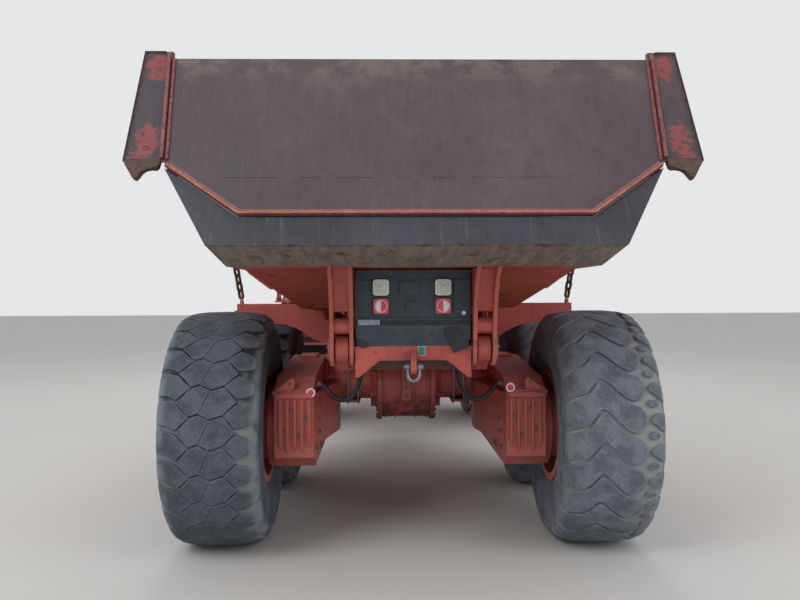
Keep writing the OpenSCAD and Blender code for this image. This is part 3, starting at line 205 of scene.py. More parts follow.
# Worn red patches round the two holes of every ear
def earPatches(tree, coords, color, spots):
    place = add(tree, "ShaderNodeSeparateXYZ", {0: coords})
    side = wire(tree, "ABSOLUTE", place.outputs["X"])
    patch = 0.0
    for x, z in ((1.475, 3.03), (1.490, 3.08), (1.466, 2.53), (1.476, 2.60)):
        away = add(tree, "ShaderNodeVectorMath", {0: add(tree, "ShaderNodeCombineXYZ",
            {0: side, 2: place.outputs["Z"]}).outputs[0], 1: (x, 0, z)}, operation="DISTANCE").outputs["Value"]
        patch = wire(tree, "MAXIMUM", wire(tree, "between", away, 0.115, 0.015), patch)
    ragged = wire(tree, "noise", coords, 24.0, 8.0, 0.72)
    return wire(tree, "mixColor", wire(tree, "between", wire(tree, "MULTIPLY_ADD", ragged, 4.2, patch), 2.66, 2.82, 0.0,
        0.88), color, "#863b38")


# Long vertical scrapes where the load slides out
def gateScrapes(tree, coords, color, spots):
    scrapes = wire(tree, "noise", wire(tree, "stretch", coords, (64.0, 4.0, 5.0)), 1.0, 8.0, 0.74)
    color = wire(tree, "mixColor", times(tree, wire(tree, "between", scrapes, 0.52, 0.70), 0.30), color, "#6b6064")
    color = wire(tree, "mixColor", times(tree, wire(tree, "between", scrapes, 0.48, 0.30), 0.35), color, "#3a3038")
    height = add(tree, "ShaderNodeSeparateXYZ", {0: coords}).outputs["Z"]
    top = times(tree, wire(tree, "between", height, 2.86, 3.08),
        wire(tree, "between", wire(tree, "noise", coords, 5.0, 7.0, 0.65), 0.48, 0.62))
    return wire(tree, "mixColor", times(tree, top, 0.5), color, "#7a6a62")


# Oil and road film on the low faces of the axle, and painted shade behind the tail beam, where the gap lies in shade
def oilAndPaintedShade(tree, coords, color, spots):
    place = add(tree, "ShaderNodeSeparateXYZ", {0: coords})
    low = wire(tree, "between", wire(tree, "MULTIPLY_ADD", spots, 0.5, place.outputs["Z"]), 1.24, 1.04)
    oil = times(tree, low, wire(tree, "between", wire(tree, "noise", coords, 9.0, 7.0, 0.65), 0.40, 0.56))
    side = wire(tree, "ABSOLUTE", place.outputs["X"])
    # painted shade: the area behind the tail beam is darkened where shade falls, it is not oil
    shade = times(tree, wire(tree, "between", place.outputs["Y"], -4.20, -4.16),
        wire(tree, "between", side, 0.345, 0.335), wire(tree, "between", place.outputs["Y"], -3.3, -3.5))
    return wire(tree, "mixColor", times(tree, wire(tree, "MAXIMUM", oil, shade), 0.85), color, "#2c2526")


bodyLook["second"], earLook["second"], gateLook["second"] = bodyCoats, earPatches, gateScrapes
oilAndShadeLook = dict(orangeLook, second=oilAndPaintedShade)


# Natural and carbon-black rubber, pressed in a mould: grey with dried dust, cleaner where it rolls. The grooves get
# painted shade, a dark colour, above a height and clay dust below it
def tyreRubber(name, look):
    material, tree, shader, coords = newMaterial(name)
    cloudy = wire(tree, "noise", coords, 7.0, 9.0, 0.7)
    fine = wire(tree, "noise", coords, 90.0, 5.0, 0.7)
    depth = add(tree, "ShaderNodeAttribute", attribute_name="grooveDepth").outputs["Fac"]
    edge = edgeMask(tree, 14, 0.01, 0.12)
    color = wire(tree, "mixColor", wire(tree, "between", cloudy, 0.40, 0.60), look["rubber"], look["dusty"])
    color = wire(tree, "mixColor", times(tree, wire(tree, "between", fine, 0.45, 0.7), 0.35), color, look["light"])
    color = wire(tree, "mixColor", times(tree, edge, 0.45), color, look["light"])
    height = add(tree, "ShaderNodeSeparateXYZ", {0: coords}).outputs["Z"]
    dusted = wire(tree, "between", wire(tree, "MULTIPLY_ADD", cloudy, 1.2, height), look["dustTop"] + 0.35,
        look["dustTop"] - 0.15)
    # painted shade: the grooves are darkened above the dust line to stand in for shade in the hollows, and the lower
    # grooves get clay dust
    color = wire(tree, "mixColor", times(tree, depth, look["grooveShow"]), color,
        wire(tree, "mixColor", dusted, look["grooveShade"], look["clay"]))
    shoulder = add(tree, "ShaderNodeAttribute", attribute_name="shoulder").outputs["Fac"]
    shoulder = times(tree, shoulder, wire(tree, "between", cloudy, 0.30, 0.56))
    color = wire(tree, "mixColor", times(tree, shoulder, look["shoulderShow"]), color, look["shoulder"])
    relief = wire(tree, "ADD", times(tree, fine, 0.5), times(tree, cloudy, 0.5))
    bump = add(tree, "ShaderNodeBump", {"Height": relief, "Strength": 0.6, "Distance": 0.003})
    feed(tree, shader, {"Base Color": color, "Roughness": 0.86, "Specular IOR Level": 0.3, "Normal": bump.outputs[0]})
    return material


# Moulded or sprayed surfaces without rust
def plainFinish(name, **look):
    material, tree, shader, coords = newMaterial(name)
    cloudy = wire(tree, "noise", coords, look.get("cloudScale", 7.0), 6.0, 0.6)
    fine = wire(tree, "noise", coords, look.get("fineScale", 220.0), 4.0, 0.65)
    color = wire(tree, "mixColor", wire(tree, "between", cloudy, 0.35, 0.68), look["color"], look["worn"])
    color = wire(tree, "mixColor", times(tree, edgeMask(tree, look.get("edgeMm", 5)), look.get("edgeWear", 0.5)), color,
        look["edge"])
    rough = wire(tree, "between", cloudy, 0.3, 0.7, look["roughness"] - 0.08, min(look["roughness"] + 0.12, 1.0))
    bump = add(tree, "ShaderNodeBump", {"Height": fine, "Strength": look.get("bump", 0.2), "Distance": 0.001})
    feed(tree, shader, {"Base Color": color, "Roughness": rough, "Metallic": look.get("metallic", 0.0),
        "Normal": bump.outputs[0]})
    return material


# Tempered glass, slightly grey, with a thin film of dust
def windowGlass(name):
    material, tree, shader, coords = newMaterial(name)
    cloudy = wire(tree, "noise", coords, 3.0, 7.0, 0.6)
    feed(tree, shader, {"Base Color": wire(tree, "mixColor", cloudy, "#c5d2d4", "#dfe6e6"),
        "Roughness": wire(tree, "between", cloudy, 0.3, 0.7, 0.03, 0.12), "Transmission Weight": 0.92, "IOR": 1.02,
        "Coat Weight": 0.6})
    return material


# Polycarbonate lens over a reflector: a pale field with fine moulded flutes, their grid painted lighter as a painted
# highlight from the reflector
def lampLens(name, color, fluteHighlight):
    material, tree, shader, coords = newMaterial(name)
    flutes = add(tree, "ShaderNodeTexWave", {"Vector": coords, "Scale": 55.0, "Distortion": 0.0},
        bands_direction="X").outputs["Fac"]
    rows = add(tree, "ShaderNodeTexWave", {"Vector": coords, "Scale": 40.0, "Distortion": 0.0},
        bands_direction="Z").outputs["Fac"]
    grid = times(tree, flutes, rows)
    bump = add(tree, "ShaderNodeBump", {"Height": grid, "Strength": 0.5, "Distance": 0.002})
    feed(tree, shader, {"Base Color": wire(tree, "mixColor", grid, color, fluteHighlight), "Roughness": 0.18,
        "Coat Weight": 0.5, "Normal": bump.outputs[0]})
    return material


fadedOrangeEnamel = paintedSteel("fadedOrangeEnamel", orangeLook)
scrapedGatePlate = paintedSteel("scrapedGatePlate", gateLook)
scrapedBodyPlate = paintedSteel("scrapedBodyPlate", bodyLook)
chippedEarPlate = paintedSteel("chippedEarPlate", earLook)
blockTyreRubber = tyreRubber("blockTyreRubber", {"rubber": "#3f454f", "dusty": "#525963", "light": "#767c82",
    "grooveShade": "#222329", "clay": "#7d817f", "grooveShow": 0.92, "dustTop": 1.55, "shoulder": "#838d97",
    "shoulderShow": 0.75})
lugTyreRubber = tyreRubber("lugTyreRubber", {"rubber": "#4f5661", "dusty": "#69707b", "light": "#8b9094",
    "grooveShade": "#4e5157", "clay": "#8f9291", "grooveShow": 0.88, "dustTop": 1.9, "shoulder": "#7d8384",
    "shoulderShow": 0.55})
blackPanelPlastic = plainFinish("blackPanelPlastic", color="#29323c", worn="#3b4651", edge="#5f6870", roughness=0.55)
blackEnamel = plainFinish("blackEnamel", color="#15171a", worn="#24272a", edge="#5a5550", roughness=0.5)
hoseRubber = plainFinish("hoseRubber", color="#14171c", worn="#22272e", edge="#30343a", roughness=0.6)
greyCasting = plainFinish("greyCasting", color="#4a4d4e", worn="#5e605f", edge="#7d7b77", roughness=0.6, metallic=0.4,
    bump=0.5)
zincSteel = plainFinish("zincSteel", color="#6e7c88", worn="#87929b", edge="#a9b1b6", roughness=0.42, metallic=0.7)
rustyChain = plainFinish("rustyChain", color="#3b3532", worn="#5a4438", edge="#77695d", roughness=0.7, metallic=0.4,
    cloudScale=30.0)
chromeRod = plainFinish("chromeRod", color="#b9bcc0", worn="#a4a7aa", edge="#d0d2d4", roughness=0.16, metallic=1.0)
darkVinyl = plainFinish("darkVinyl", color="#202226", worn="#2c2e32", edge="#3d3f43", roughness=0.6, bump=0.4)
cabGlass = windowGlass("cabGlass")
whiteLens = lampLens("whiteLens", "#b6c6bb", "#eef6ee")
redLens = lampLens("redLens", "#bf2238", "#e5475c")
primedRim = paintedSteel("primedRim", primerLook)
oilAndShadeEnamel = paintedSteel("oilAndShadeEnamel", oilAndShadeLook)
wineFlange = paintedSteel("wineFlange", dict(primerLook, paint="#75383b", faded="#86464a", grime="#54303a"))
rubbedEdge = paintedSteel("rubbedEdge", dict(primerLook, paint="#9e5247", faded="#b07058", grime="#74433f",
    rustFrom=0.60))
faintWeld = paintedSteel("faintWeld", dict(gateLook, paint="#56454a", faded="#664b46", rustFrom=0.56))
rustyHook = paintedSteel("rustyHook", hookLook)
wornEdgeRubber = plainFinish("wornEdgeRubber", color="#1b1a1d", worn="#2c2a2c", edge="#46413d", roughness=0.8, bump=0.6)
greyFasteners = plainFinish("greyFasteners", color="#5c4640", worn="#6f5650", edge="#8b827c", roughness=0.55,
    metallic=0.3, cloudScale=40.0)
paleReflector = plainFinish("paleReflector", color="#c3cbcd", worn="#dfe4e4", edge="#eceeee", roughness=0.25,
    cloudScale=60.0)
blankStrip = plainFinish("blankStrip", color="#7f868e", worn="#959aa2", edge="#5e6268", roughness=0.5, cloudScale=50.0)
palePlateEdge = plainFinish("palePlateEdge", color="#a9b7b2", worn="#bcc6c1", edge="#8a9893", roughness=0.5)
greenPlate = plainFinish("greenPlate", color="#1f6f63", worn="#2e8474", edge="#4a9c8c", roughness=0.45)
print("materials done")

nodeFinishes = {scrapedGatePlate: ["tailgate"], chippedEarPlate: ["tailgate_arms"], scrapedBodyPlate: ["dump_body"],
    oilAndShadeEnamel: ["rear_axle", "rear_frame"], blackPanelPlastic: ["tail_panel", "mirrors"],
    whiteLens: ["rear_lamps", "front_lamps"], zincSteel: ["tow_shackle"], rustyChain: ["tail_chains"],
    hoseRubber: ["brake_hoses"], greyCasting: ["engine_block", "exhaust_stack"],
    cabGlass: ["cab_glass", "cab_door_glass"], darkVinyl: ["cab_fittings"], blackEnamel: ["grille"]}
nodeFinish = {name: finish for finish, names in nodeFinishes.items() for name in names}
for name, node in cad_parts.items():
    finish = nodeFinish.get(name, fadedOrangeEnamel)
    if "rod_" in name:
        finish = chromeRod
    if name.startswith("tyre"):
        finish = lugTyreRubber if name.endswith("right") else blockTyreRubber
    node.data.materials.clear()
    node.data.materials.append(finish)


def newPiece(name, vertices, faces, finish, body, smooth=False):
    mesh = bpy.data.meshes.new(name)
    mesh.from_pydata([tuple(v) for v in vertices], [], faces)
    mesh.materials.append(finish)
    piece = bpy.data.objects.new(name, mesh)
    bpy.context.scene.collection.objects.link(piece)
    shell = bmesh.new()
    shell.from_mesh(mesh)
    bmesh.ops.remove_doubles(shell, verts=shell.verts, dist=0.00002)
    bmesh.ops.recalc_face_normals(shell, faces=shell.faces)
    shell.to_mesh(mesh)
    shell.free()
    if smooth:
        shadeSmooth(mesh, 38)
    if body:
        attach(piece, body)
    return piece


def shadeSmooth(mesh, degrees):
    for face in mesh.polygons:
        face.use_smooth = True
    mesh.set_sharp_from_angle(angle=math.radians(degrees))


# Tyres. The crown line runs over the distance from the middle plane and the radius
tyreSettings = {"radius": 0.800, "grooveDepth": 0.024, "blockPitches": 27, "lugPitches": 25, "draft": 0.003,
    "roundOver": 0.004, "wheelX": 1.2625, "gap": 0.0024, "lugGap": 0.0095, "steps": 120,
    "rows": {"rear": -3.39, "mid": -1.69, "front": 2.5}}
crownLine = [(0.0, 0.800), (0.06, 0.7995), (0.12, 0.798), (0.17, 0.7945), (0.21, 0.789), (0.24, 0.782), (0.262, 0.774),
    (0.280, 0.763), (0.294, 0.747), (0.303, 0.727), (0.309, 0.700), (0.3125, 0.670), (0.3140, 0.640)]
crownArc = [0.0]
for here, there in zip(crownLine, crownLine[1:]):
    crownArc.append(crownArc[-1] + math.dist(here, there))


# A point and its outward direction on the crown, at a signed arc distance from the middle
def crownAt(arc):
    reach = min(abs(arc), crownArc[-1] - 1e-6)
    i = max(k for k in range(len(crownArc) - 1) if crownArc[k] <= reach)
    share = (reach - crownArc[i]) / (crownArc[i + 1] - crownArc[i])
    a, b = Vector(crownLine[i]), Vector(crownLine[i + 1])
    point = a.lerp(b, share)
    along = (b - a).normalized()
    normal = Vector((-along.y, along.x))
    if arc < 0:
        return Vector((-point.x, point.y)), Vector((-normal.x, normal.y))
    return point, normal


# A block runs across the crown in stations of (arc, lower edge, upper edge) along the rolling direction
def treadBlock(stations, settings, vertices, faces):
    start = len(vertices)
    draft, soft, deep = settings["draft"], settings["roundOver"], settings["grooveDepth"] + 0.004
    for arc, low, high in stations:
        point, normal = crownAt(arc)
        half = (high - low) / 2
        d, s = min(draft, half * 0.4), min(soft, half * 0.3)
        middle = (low + high) / 2
        ring = [(low, deep), (low + d, s), (low + d + s, 0.0), (middle, 0.0), (high - d - s, 0.0), (high - d, s),
            (high, deep)]
        for roll, down in ring:
            spot = point - normal * down
            turn = roll / settings["radius"]
            vertices.append(Vector((spot.x, -spot.y * math.cos(turn), -spot.y * math.sin(turn))))
    width = 7
    for i in range(len(stations) - 1):
        for k in range(width - 1):
            a = start + i * width + k
            faces.append((a, a + 1, a + width + 1, a + width))
    for i in (0, len(stations) - 1):
        faces.append(tuple(start + i * width + k for k in range(width)))


# One pitch of interlocking six-sided blocks: two columns in the middle, a pointed one on each shoulder
def diamondPitch(settings):
    pitch = 2 * math.pi * settings["radius"] / settings["blockPitches"]
    middleLeft = [(-0.176, 0.52, 0.52), (-0.136, 0.28, 0.76), (-0.096, 0.03, 1.03), (-0.035, -0.08, 0.92),
        (-0.005, 0.03, 0.52), (0.026, 0.13, 0.13)]
    middleRight = [(-0.035, 0.92, 0.92), (-0.005, 0.52, 1.03), (0.026, 0.13, 1.13), (0.115, -0.02, 0.98),
        (0.153, 0.25, 0.75), (0.190, 0.52, 0.52)]
    leftShoulder = [(-0.372, -0.56, 0.30), (-0.330, -0.58, 0.29), (-0.290, -0.60, 0.28), (-0.240, -0.56, 0.32),
        (-0.176, -0.44, 0.48), (-0.136, -0.20, 0.26), (-0.096, 0.03, 0.03)]
    rightShoulder = [(0.115, -0.01, -0.01), (0.153, -0.24, 0.24), (0.190, -0.42, 0.44), (0.225, -0.38, 0.42),
        (0.262, -0.30, 0.36), (0.288, -0.22, 0.28), (0.300, -0.12, 0.18)]
    blocks = []
    for column in (middleLeft, middleRight, leftShoulder, rightShoulder):
        stations = []
        for arc, low, high in column:
            room = max((high - low) * pitch / 2 - settings["gap"], 0.002)
            middle = (low + high) * pitch / 2
            stations.append((arc, middle - room, middle + room))
        blocks.append(stations)
    return blocks, settings["blockPitches"]


# One pitch of wavy lugs: a long one with a round end, a small round one and a broad one on the outer shoulder
def wavePitch(settings):
    pitch = 2 * math.pi * settings["radius"] / settings["lugPitches"]
    valley = [(-0.372, 0.150), (-0.33, 0.140), (-0.268, 0.118), (-0.215, 0.106), (-0.180, 0.088), (-0.146, 0.048),
        (-0.120, 0.012), (-0.099, 0.0), (-0.075, 0.008), (-0.040, 0.040), (-0.006, 0.076), (0.030, 0.112),
        (0.062, 0.136), (0.095, 0.152)]
    longLug = [(arc, low - pitch + settings["lugGap"], low - settings["lugGap"]) for arc, low in valley]
    longLug += [(0.118, 0.150 - pitch + 0.014, 0.150 - 0.012), (0.142, 0.150 - pitch + 0.030, 0.126),
        (0.160, 0.150 - pitch + 0.056, 0.100), (0.170, 0.150 - pitch + 0.085, 0.070)]
    roundLug = [(0.186, 0.150, 0.156), (0.194, 0.134, 0.172), (0.212, 0.126, 0.180), (0.234, 0.127, 0.179),
        (0.250, 0.136, 0.170), (0.258, 0.148, 0.158)]
    broadLug = [(0.200, 0.048, 0.060), (0.214, 0.028, 0.082), (0.240, 0.012, 0.098), (0.275, 0.006, 0.122),
        (0.320, 0.010, 0.140), (0.372, 0.024, 0.140)]
    return [longLug, roundLug, broadLug], settings["lugPitches"]


# A Geometry Nodes tree with a geometry going in and out, and some values beside it
def newTree(name, values):
    tree = bpy.data.node_groups.new(name, "GeometryNodeTree")
    for label, kind in {"Geometry": "Geometry", **values}.items():
        tree.interface.new_socket(label, in_out="INPUT", socket_type="NodeSocket" + kind)
    tree.interface.new_socket("Geometry", in_out="OUTPUT", socket_type="NodeSocketGeometry")
    return tree, add(tree, "NodeGroupInput").outputs


# Sets one shape on every point, makes it real and gives it its material
def placeCopies(tree, points, shape, rotation, finish):
    copies = add(tree, "GeometryNodeInstanceOnPoints", {"Points": points, "Instance": shape, "Rotation": rotation})
    solid = add(tree, "GeometryNodeRealizeInstances", {0: copies.outputs[0]})
    coat = add(tree, "GeometryNodeSetMaterial", {"Geometry": solid.outputs[0], "Material": finish})
    add(tree, "NodeGroupOutput", {0: coat.outputs[0]})
    return tree


# Turns copies of one pitch round the axle
def ringTree(finish):
    tree, given = newTree("treadRing", {"Pitch Count": "Int"})
    points = add(tree, "GeometryNodePoints", {"Count": given["Pitch Count"]}).outputs[0]
    step = add(tree, "ShaderNodeMath", {0: 2 * math.pi, 1: given["Pitch Count"]}, operation="DIVIDE").outputs[0]
    index = add(tree, "GeometryNodeInputIndex").outputs[0]
    turn = add(tree, "ShaderNodeMath", {0: index, 1: step}, operation="MULTIPLY").outputs[0]
    spin = add(tree, "ShaderNodeCombineXYZ", {"X": turn}).outputs[0]
    pitch = add(tree, "GeometryNodeGeometryToInstance", {0: given["Geometry"]}).outputs[0]
    return placeCopies(tree, points, pitch, spin, finish)


# Runs a Geometry Nodes tree on an object and gives the result as a mesh
def evaluated(piece, tree, inputs):
    modifier = piece.modifiers.new("build", "NODES")
    modifier.node_group = tree
    for item in tree.interface.items_tree:
        if item.item_type == "SOCKET" and item.in_out == "INPUT" and item.name in inputs:
            modifier[item.identifier] = inputs[item.name]
    result = bpy.data.meshes.new_from_object(piece.evaluated_get(bpy.context.evaluated_depsgraph_get()))
    piece.modifiers.clear()
    return result


# Closed solids are a list of points and a list of faces, in metres
def boxSolid(low, high):
    corners = [(x, y, z) for x in (low[0], high[0]) for y in (low[1], high[1]) for z in (low[2], high[2])]
    return corners, [(0, 1, 3, 2), (4, 6, 7, 5), (0, 4, 5, 1), (2, 3, 7, 6), (0, 2, 6, 4), (1, 5, 7, 3)]


# Rings with the same count of points, joined one to the next, and capped at the ends or joined to a loop
def ringSolid(rings, loop=False):
    count, size = len(rings), len(rings[0])
    faces = []
    for i in range(count if loop else count - 1):
        a, b = i * size, (i + 1) % count * size
        faces += [(a + k, a + (k + 1) % size, b + (k + 1) % size, b + k) for k in range(size)]
    if not loop:
        faces += [tuple(range(size - 1, -1, -1)), tuple(range((count - 1) * size, count * size))]
    return [point for ring in rings for point in ring], faces


def prismSolid(outline, shift):
    count = len(outline)
    corners = [Vector(p) for p in outline] + [Vector(p) + Vector(shift) for p in outline]
    sides = [(i, (i + 1) % count, count + (i + 1) % count, count + i) for i in range(count)]
    return corners, [tuple(range(count)), tuple(range(2 * count - 1, count - 1, -1))] + sides


# Points on a circle about an axis, and the axis itself
def circle(centre, axis, radius, count, start=0.0):
    axis = Vector(axis).normalized()
    across = axis.orthogonal().normalized()
    up = axis.cross(across)
    turns = [start + 2 * math.pi * k / count for k in range(count)]
    return [Vector(centre) + (across * math.cos(t) + up * math.sin(t)) * radius for t in turns], axis


def sidePlate(outline, x0, x1):  # outline of (y, z)
    return prismSolid([(x0, y, z) for y, z in outline], (x1 - x0, 0, 0))


def backPlate(outline, y0, y1):  # outline of (x, z)
    return prismSolid([(x, y0, z) for x, z in outline], (0, y1 - y0, 0))


# A turned solid from (distance along the axis, radius) pairs
def turnedSolid(centre, axis, profile, sides=28, hollow=False):
    along = Vector(axis).normalized()
    return ringSolid([circle(Vector(centre) + along * far, along, max(radius, 0.0002), sides)[0]
        for far, radius in profile], hollow)


# A round pipe along a route, its corners rounded off by extra points
def pipeSolid(route, radius, sides=10, rounding=0.03):
    points = [Vector(p) for p in route]
    line = points
    if rounding:
        line = [points[0]]
        for before, corner, after in zip(points, points[1:], points[2:]):
            into, away = corner - before, after - corner
            reach = min(rounding, into.length / 2.2, away.length / 2.2)
            a, b = corner - into.normalized() * reach, corner + away.normalized() * reach
            line += [a.lerp(corner, t).lerp(corner.lerp(b, t), t) for t in (0, 0.25, 0.5, 0.75, 1)]
        line.append(points[-1])
    rings, across = [], None
    for i, point in enumerate(line):
        along = (line[min(i + 1, len(line) - 1)] - line[max(i - 1, 0)]).normalized()
        across = (across - along * across.dot(along)).normalized() if across else along.orthogonal().normalized()
        up, turns = along.cross(across), [2 * math.pi * k / sides for k in range(sides)]
        rings.append([point + (across * math.cos(t) + up * math.sin(t)) * radius for t in turns])
    return ringSolid(rings)


def mirrored(solids):
    return solids + [([(-p[0], p[1], p[2]) for p in corners], [face[::-1] for face in faces])
        for corners, faces in solids]


# Several solids as one piece, with its edges broken by a small bevel
def dressPiece(name, solids, finish, body, bevelMm=2.5, angle=32):
    vertices, faces = [], []
    for corners, solidFaces in solids:
        start = len(vertices)
        vertices += list(corners)
        faces += [tuple(start + i for i in face) for face in solidFaces]
    piece = newPiece(name, vertices, faces, finish, body)
    shadeSmooth(piece.data, angle)
    if bevelMm:
        bevel = piece.modifiers.new("edges", "BEVEL")
        bevel.width, bevel.segments = bevelMm / 1000, 2
        bevel.limit_method, bevel.angle_limit = "ANGLE", math.radians(angle)
        bevel.use_clamp_overlap = True
        bevel.harden_normals = True
    return piece


# Sets a hexagon head on a washer at every point, facing along the points' own direction
def boltTree(finish):
    tree, given = newTree("boltHeads", {"Head Radius": "Float", "Head Height": "Float"})
    bolt = add(tree, "GeometryNodeJoinGeometry")
    for sides, wide, tall, lift in ((16, 1.25, 0.3, 0.15), (6, 1.0, 1.0, 0.7), (10, 0.55, 0.5, 1.35)):
        size, depth, raised = (add(tree, "ShaderNodeMath", {0: given[name], 1: factor}, operation="MULTIPLY").outputs[0]
            for name, factor in (("Head Radius", wide), ("Head Height", tall), ("Head Height", lift)))
        drum = add(tree, "GeometryNodeMeshCylinder", {"Vertices": sides, "Radius": size, "Depth": depth}).outputs[0]
        shift = add(tree, "ShaderNodeCombineXYZ", {"Z": raised}).outputs[0]
        part = add(tree, "GeometryNodeTransform", {"Geometry": drum, "Translation": shift}).outputs[0]
        tree.links.new(part, bolt.inputs[0])
    facing = add(tree, "GeometryNodeInputNamedAttribute", {"Name": "facing"}, data_type="FLOAT_VECTOR")
    turn = add(tree, "FunctionNodeAlignRotationToVector", {"Vector": facing.outputs["Attribute"]}, axis="Z").outputs[0]
    return placeCopies(tree, given["Geometry"], bolt.outputs[0], turn, finish)


# Bolt heads at (place, direction) pairs, as one plain mesh on one body
def boltHeads(name, places, finish, body, radius=0.015, height=0.012):
    points = bpy.data.meshes.new(name + "_points")
    points.from_pydata([tuple(place) for place, _ in places], [], [])
    facing = points.attributes.new("facing", "FLOAT_VECTOR", "POINT")
    for i, (_, direction) in enumerate(places):
        facing.data[i].vector = Vector(direction).normalized()
    holder = bpy.data.objects.new(name + "_points", points)
    bpy.context.scene.collection.objects.link(holder)
    result = evaluated(holder, boltTree(finish), {"Head Radius": radius, "Head Height": height})
    bpy.data.objects.remove(holder)
    return newPiece(name, [v.co.copy() for v in result.vertices], [tuple(p.vertices) for p in result.polygons], finish,
        body)


# Bolts on a circle, as (place, direction) pairs
def boltCircle(centre, axis, radius, count, start=0.0):
    points, direction = circle(centre, axis, radius, count, start)
    return [(point, direction) for point in points]


def bothSides(places):
    return places + [((-p[0], p[1], p[2]), (-d[0], d[1], d[2])) for p, d in places]


# Lathe outline of the carcass below the blocks, over distance from the middle plane and radius
def carcassOutline(settings):
    outline = []
    for arc in [k * crownArc[-1] / 14 for k in range(-14, 15)]:
        point, normal = crownAt(arc)
        fade = max(0.0, min(1.0, (abs(arc) - 0.285) / 0.06))
        outline.append(point - normal * settings["grooveDepth"] * (1 - fade))
    wall = [(0.3135, 0.61), (0.3165, 0.585), (0.3175, 0.56), (0.3165, 0.53), (0.313, 0.505), (0.3145, 0.498),
        (0.3105, 0.488), (0.305, 0.465), (0.300, 0.458), (0.3015, 0.448), (0.296, 0.438), (0.288, 0.425),
        (0.284, 0.409), (0.276, 0.398), (0.270, 0.385), (0.262, 0.364)]
    right = [Vector(p) for p in wall]
    left = [Vector((-p[0], p[1])) for p in wall]
    return left[::-1] + outline + right


crownSteps = [crownAt(crownArc[-1] * k / 90)[0] for k in range(91)]


def ramp(value, low, high):
    return max(0.0, min(1.0, (value - low) / (high - low)))


def buildTyre(row, side):
    settings = tyreSettings
    name = f"tyre_{row}_{side}"
    finish, pattern = (lugTyreRubber, wavePitch) if side == "right" else (blockTyreRubber, diamondPitch)
    blocks, count = pattern(settings)
    vertices, faces = [], []
    for stations in blocks:
        treadBlock(stations, settings, vertices, faces)
    pitch = newPiece("pitch", vertices, faces, finish, None)
    ring = evaluated(pitch, ringTree(finish), {"Pitch Count": count})
    bpy.data.objects.remove(pitch)
    turns = [2 * math.pi * k / settings["steps"] for k in range(settings["steps"])]
    outline = carcassOutline(settings)
    rings = [[Vector((p.x, p.y * math.cos(t), p.y * math.sin(t))) for p in outline] for t in turns]
    carcass, carcassFaces = ringSolid(rings, True)
    vertices = [v.co.copy() for v in ring.vertices]
    faces = [tuple(p.vertices) for p in ring.polygons]
    faces += [tuple(len(vertices) + i for i in face) for face in carcassFaces]
    sign = 1 if side == "right" else -1
    place = Vector((sign * settings["wheelX"], settings["rows"][row], settings["radius"]))
    tyre = newPiece(name + "_tread", [v + place for v in vertices + carcass], faces, finish, f"wheel_{row}_{side}",
        smooth=True)
    depth = tyre.data.attributes.new("grooveDepth", "FLOAT", "POINT")
    shoulder = tyre.data.attributes.new("shoulder", "FLOAT", "POINT")
    for i, vertex in enumerate(tyre.data.vertices):
        local = vertex.co - place
        across, radius = abs(local.x), math.hypot(local.y, local.z)
        below = min(math.hypot(across - p.x, radius - p.y) for p in crownSteps)
        depth.data[i].value = ramp(below, 0.009, 0.019) if radius > 0.72 else 0.0
        shoulder.data[i].value = ramp(across, 0.262, 0.292) * ramp(radius, 0.66, 0.71)
    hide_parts(name)


for row in ("rear", "mid", "front"):
    for side in ("left", "right"):
        buildTyre(row, side)
print("tyres done")

# Tailgate, ears and the rims that frame them
tailSettings = {"lipY": -4.95, "lipZ": 1.97, "lean": 0.60, "gateLow": 2.126, "gateLowX": 0.93, "kneeX": 1.35,
    "kneeZ": 2.408, "topX": 1.41, "topZ": 3.11, "rimWidth": 0.034, "rimOut": 0.020, "flangeOut": 0.026}


# A point on the leaning plane of the tail, standing out by some metres
def onTail(x, z, out=0.0):
    lean = tailSettings["lean"]
    size = math.hypot(1.0, lean)
    return Vector((x, tailSettings["lipY"] + lean * (z - tailSettings["lipZ"]) - out / size, z + out * lean / size))


# A band beside a path of (x, z) points on that plane, with its two edges at their own heights
def tailBand(path, width, outNear, outFar, under=-0.002):
    flat, rings = [Vector(p) for p in path], []
    for i, near in enumerate(flat):
        into = (near - flat[i - 1]).normalized() if i else (flat[1] - flat[0]).normalized()
        away = (flat[i + 1] - near).normalized() if i + 1 < len(flat) else into
        normals = Vector((-into.y, into.x)), Vector((-away.y, away.x))
        middle = (normals[0] + normals[1]).normalized()
        far = near + middle * width / max(middle.dot(normals[0]), 0.3)
        rings.append([onTail(*near, under), onTail(*near, outNear), onTail(*far, outFar), onTail(*far, under)])
    return ringSolid(rings)


tail = tailSettings


def edgeX(z):
    return tail["kneeX"] + (tail["topX"] - tail["kneeX"]) * (z - tail["kneeZ"]) / (tail["topZ"] - tail["kneeZ"])


rimPath = [(-tail["kneeX"] + 0.004, tail["kneeZ"]), (-tail["gateLowX"], tail["gateLow"]),
    (tail["gateLowX"], tail["gateLow"]), (tail["kneeX"] - 0.004, tail["kneeZ"])]
dressPiece("tailgate_rim", [tailBand(rimPath, tail["rimWidth"], tail["rimOut"], 0.007)], primedRim, "tailgate", 3)
dressPiece("tailgate_rim_edge", [tailBand([(x, z + 0.001) for x, z in rimPath], 0.011, tail["rimOut"] + 0.006,
    tail["rimOut"] + 0.004)], rubbedEdge, "tailgate", 2)
sideFlange = [tailBand([(edgeX(2.445) - 0.003, 2.445), (edgeX(3.105) - 0.003, 3.105)], 0.016, 0.012, 0.010)]
earFlange = [tailBand([(edgeX(3.138) + 0.006, 3.138), (edgeX(2.450) + 0.006, 2.450)], 0.020, tail["flangeOut"],
    tail["flangeOut"] - 0.004)]
dressPiece("tailgate_side_flanges", mirrored(sideFlange), primedRim, "tailgate", 2)
dressPiece("ear_flanges", mirrored(earFlange), wineFlange, "tailgate", 2.5)
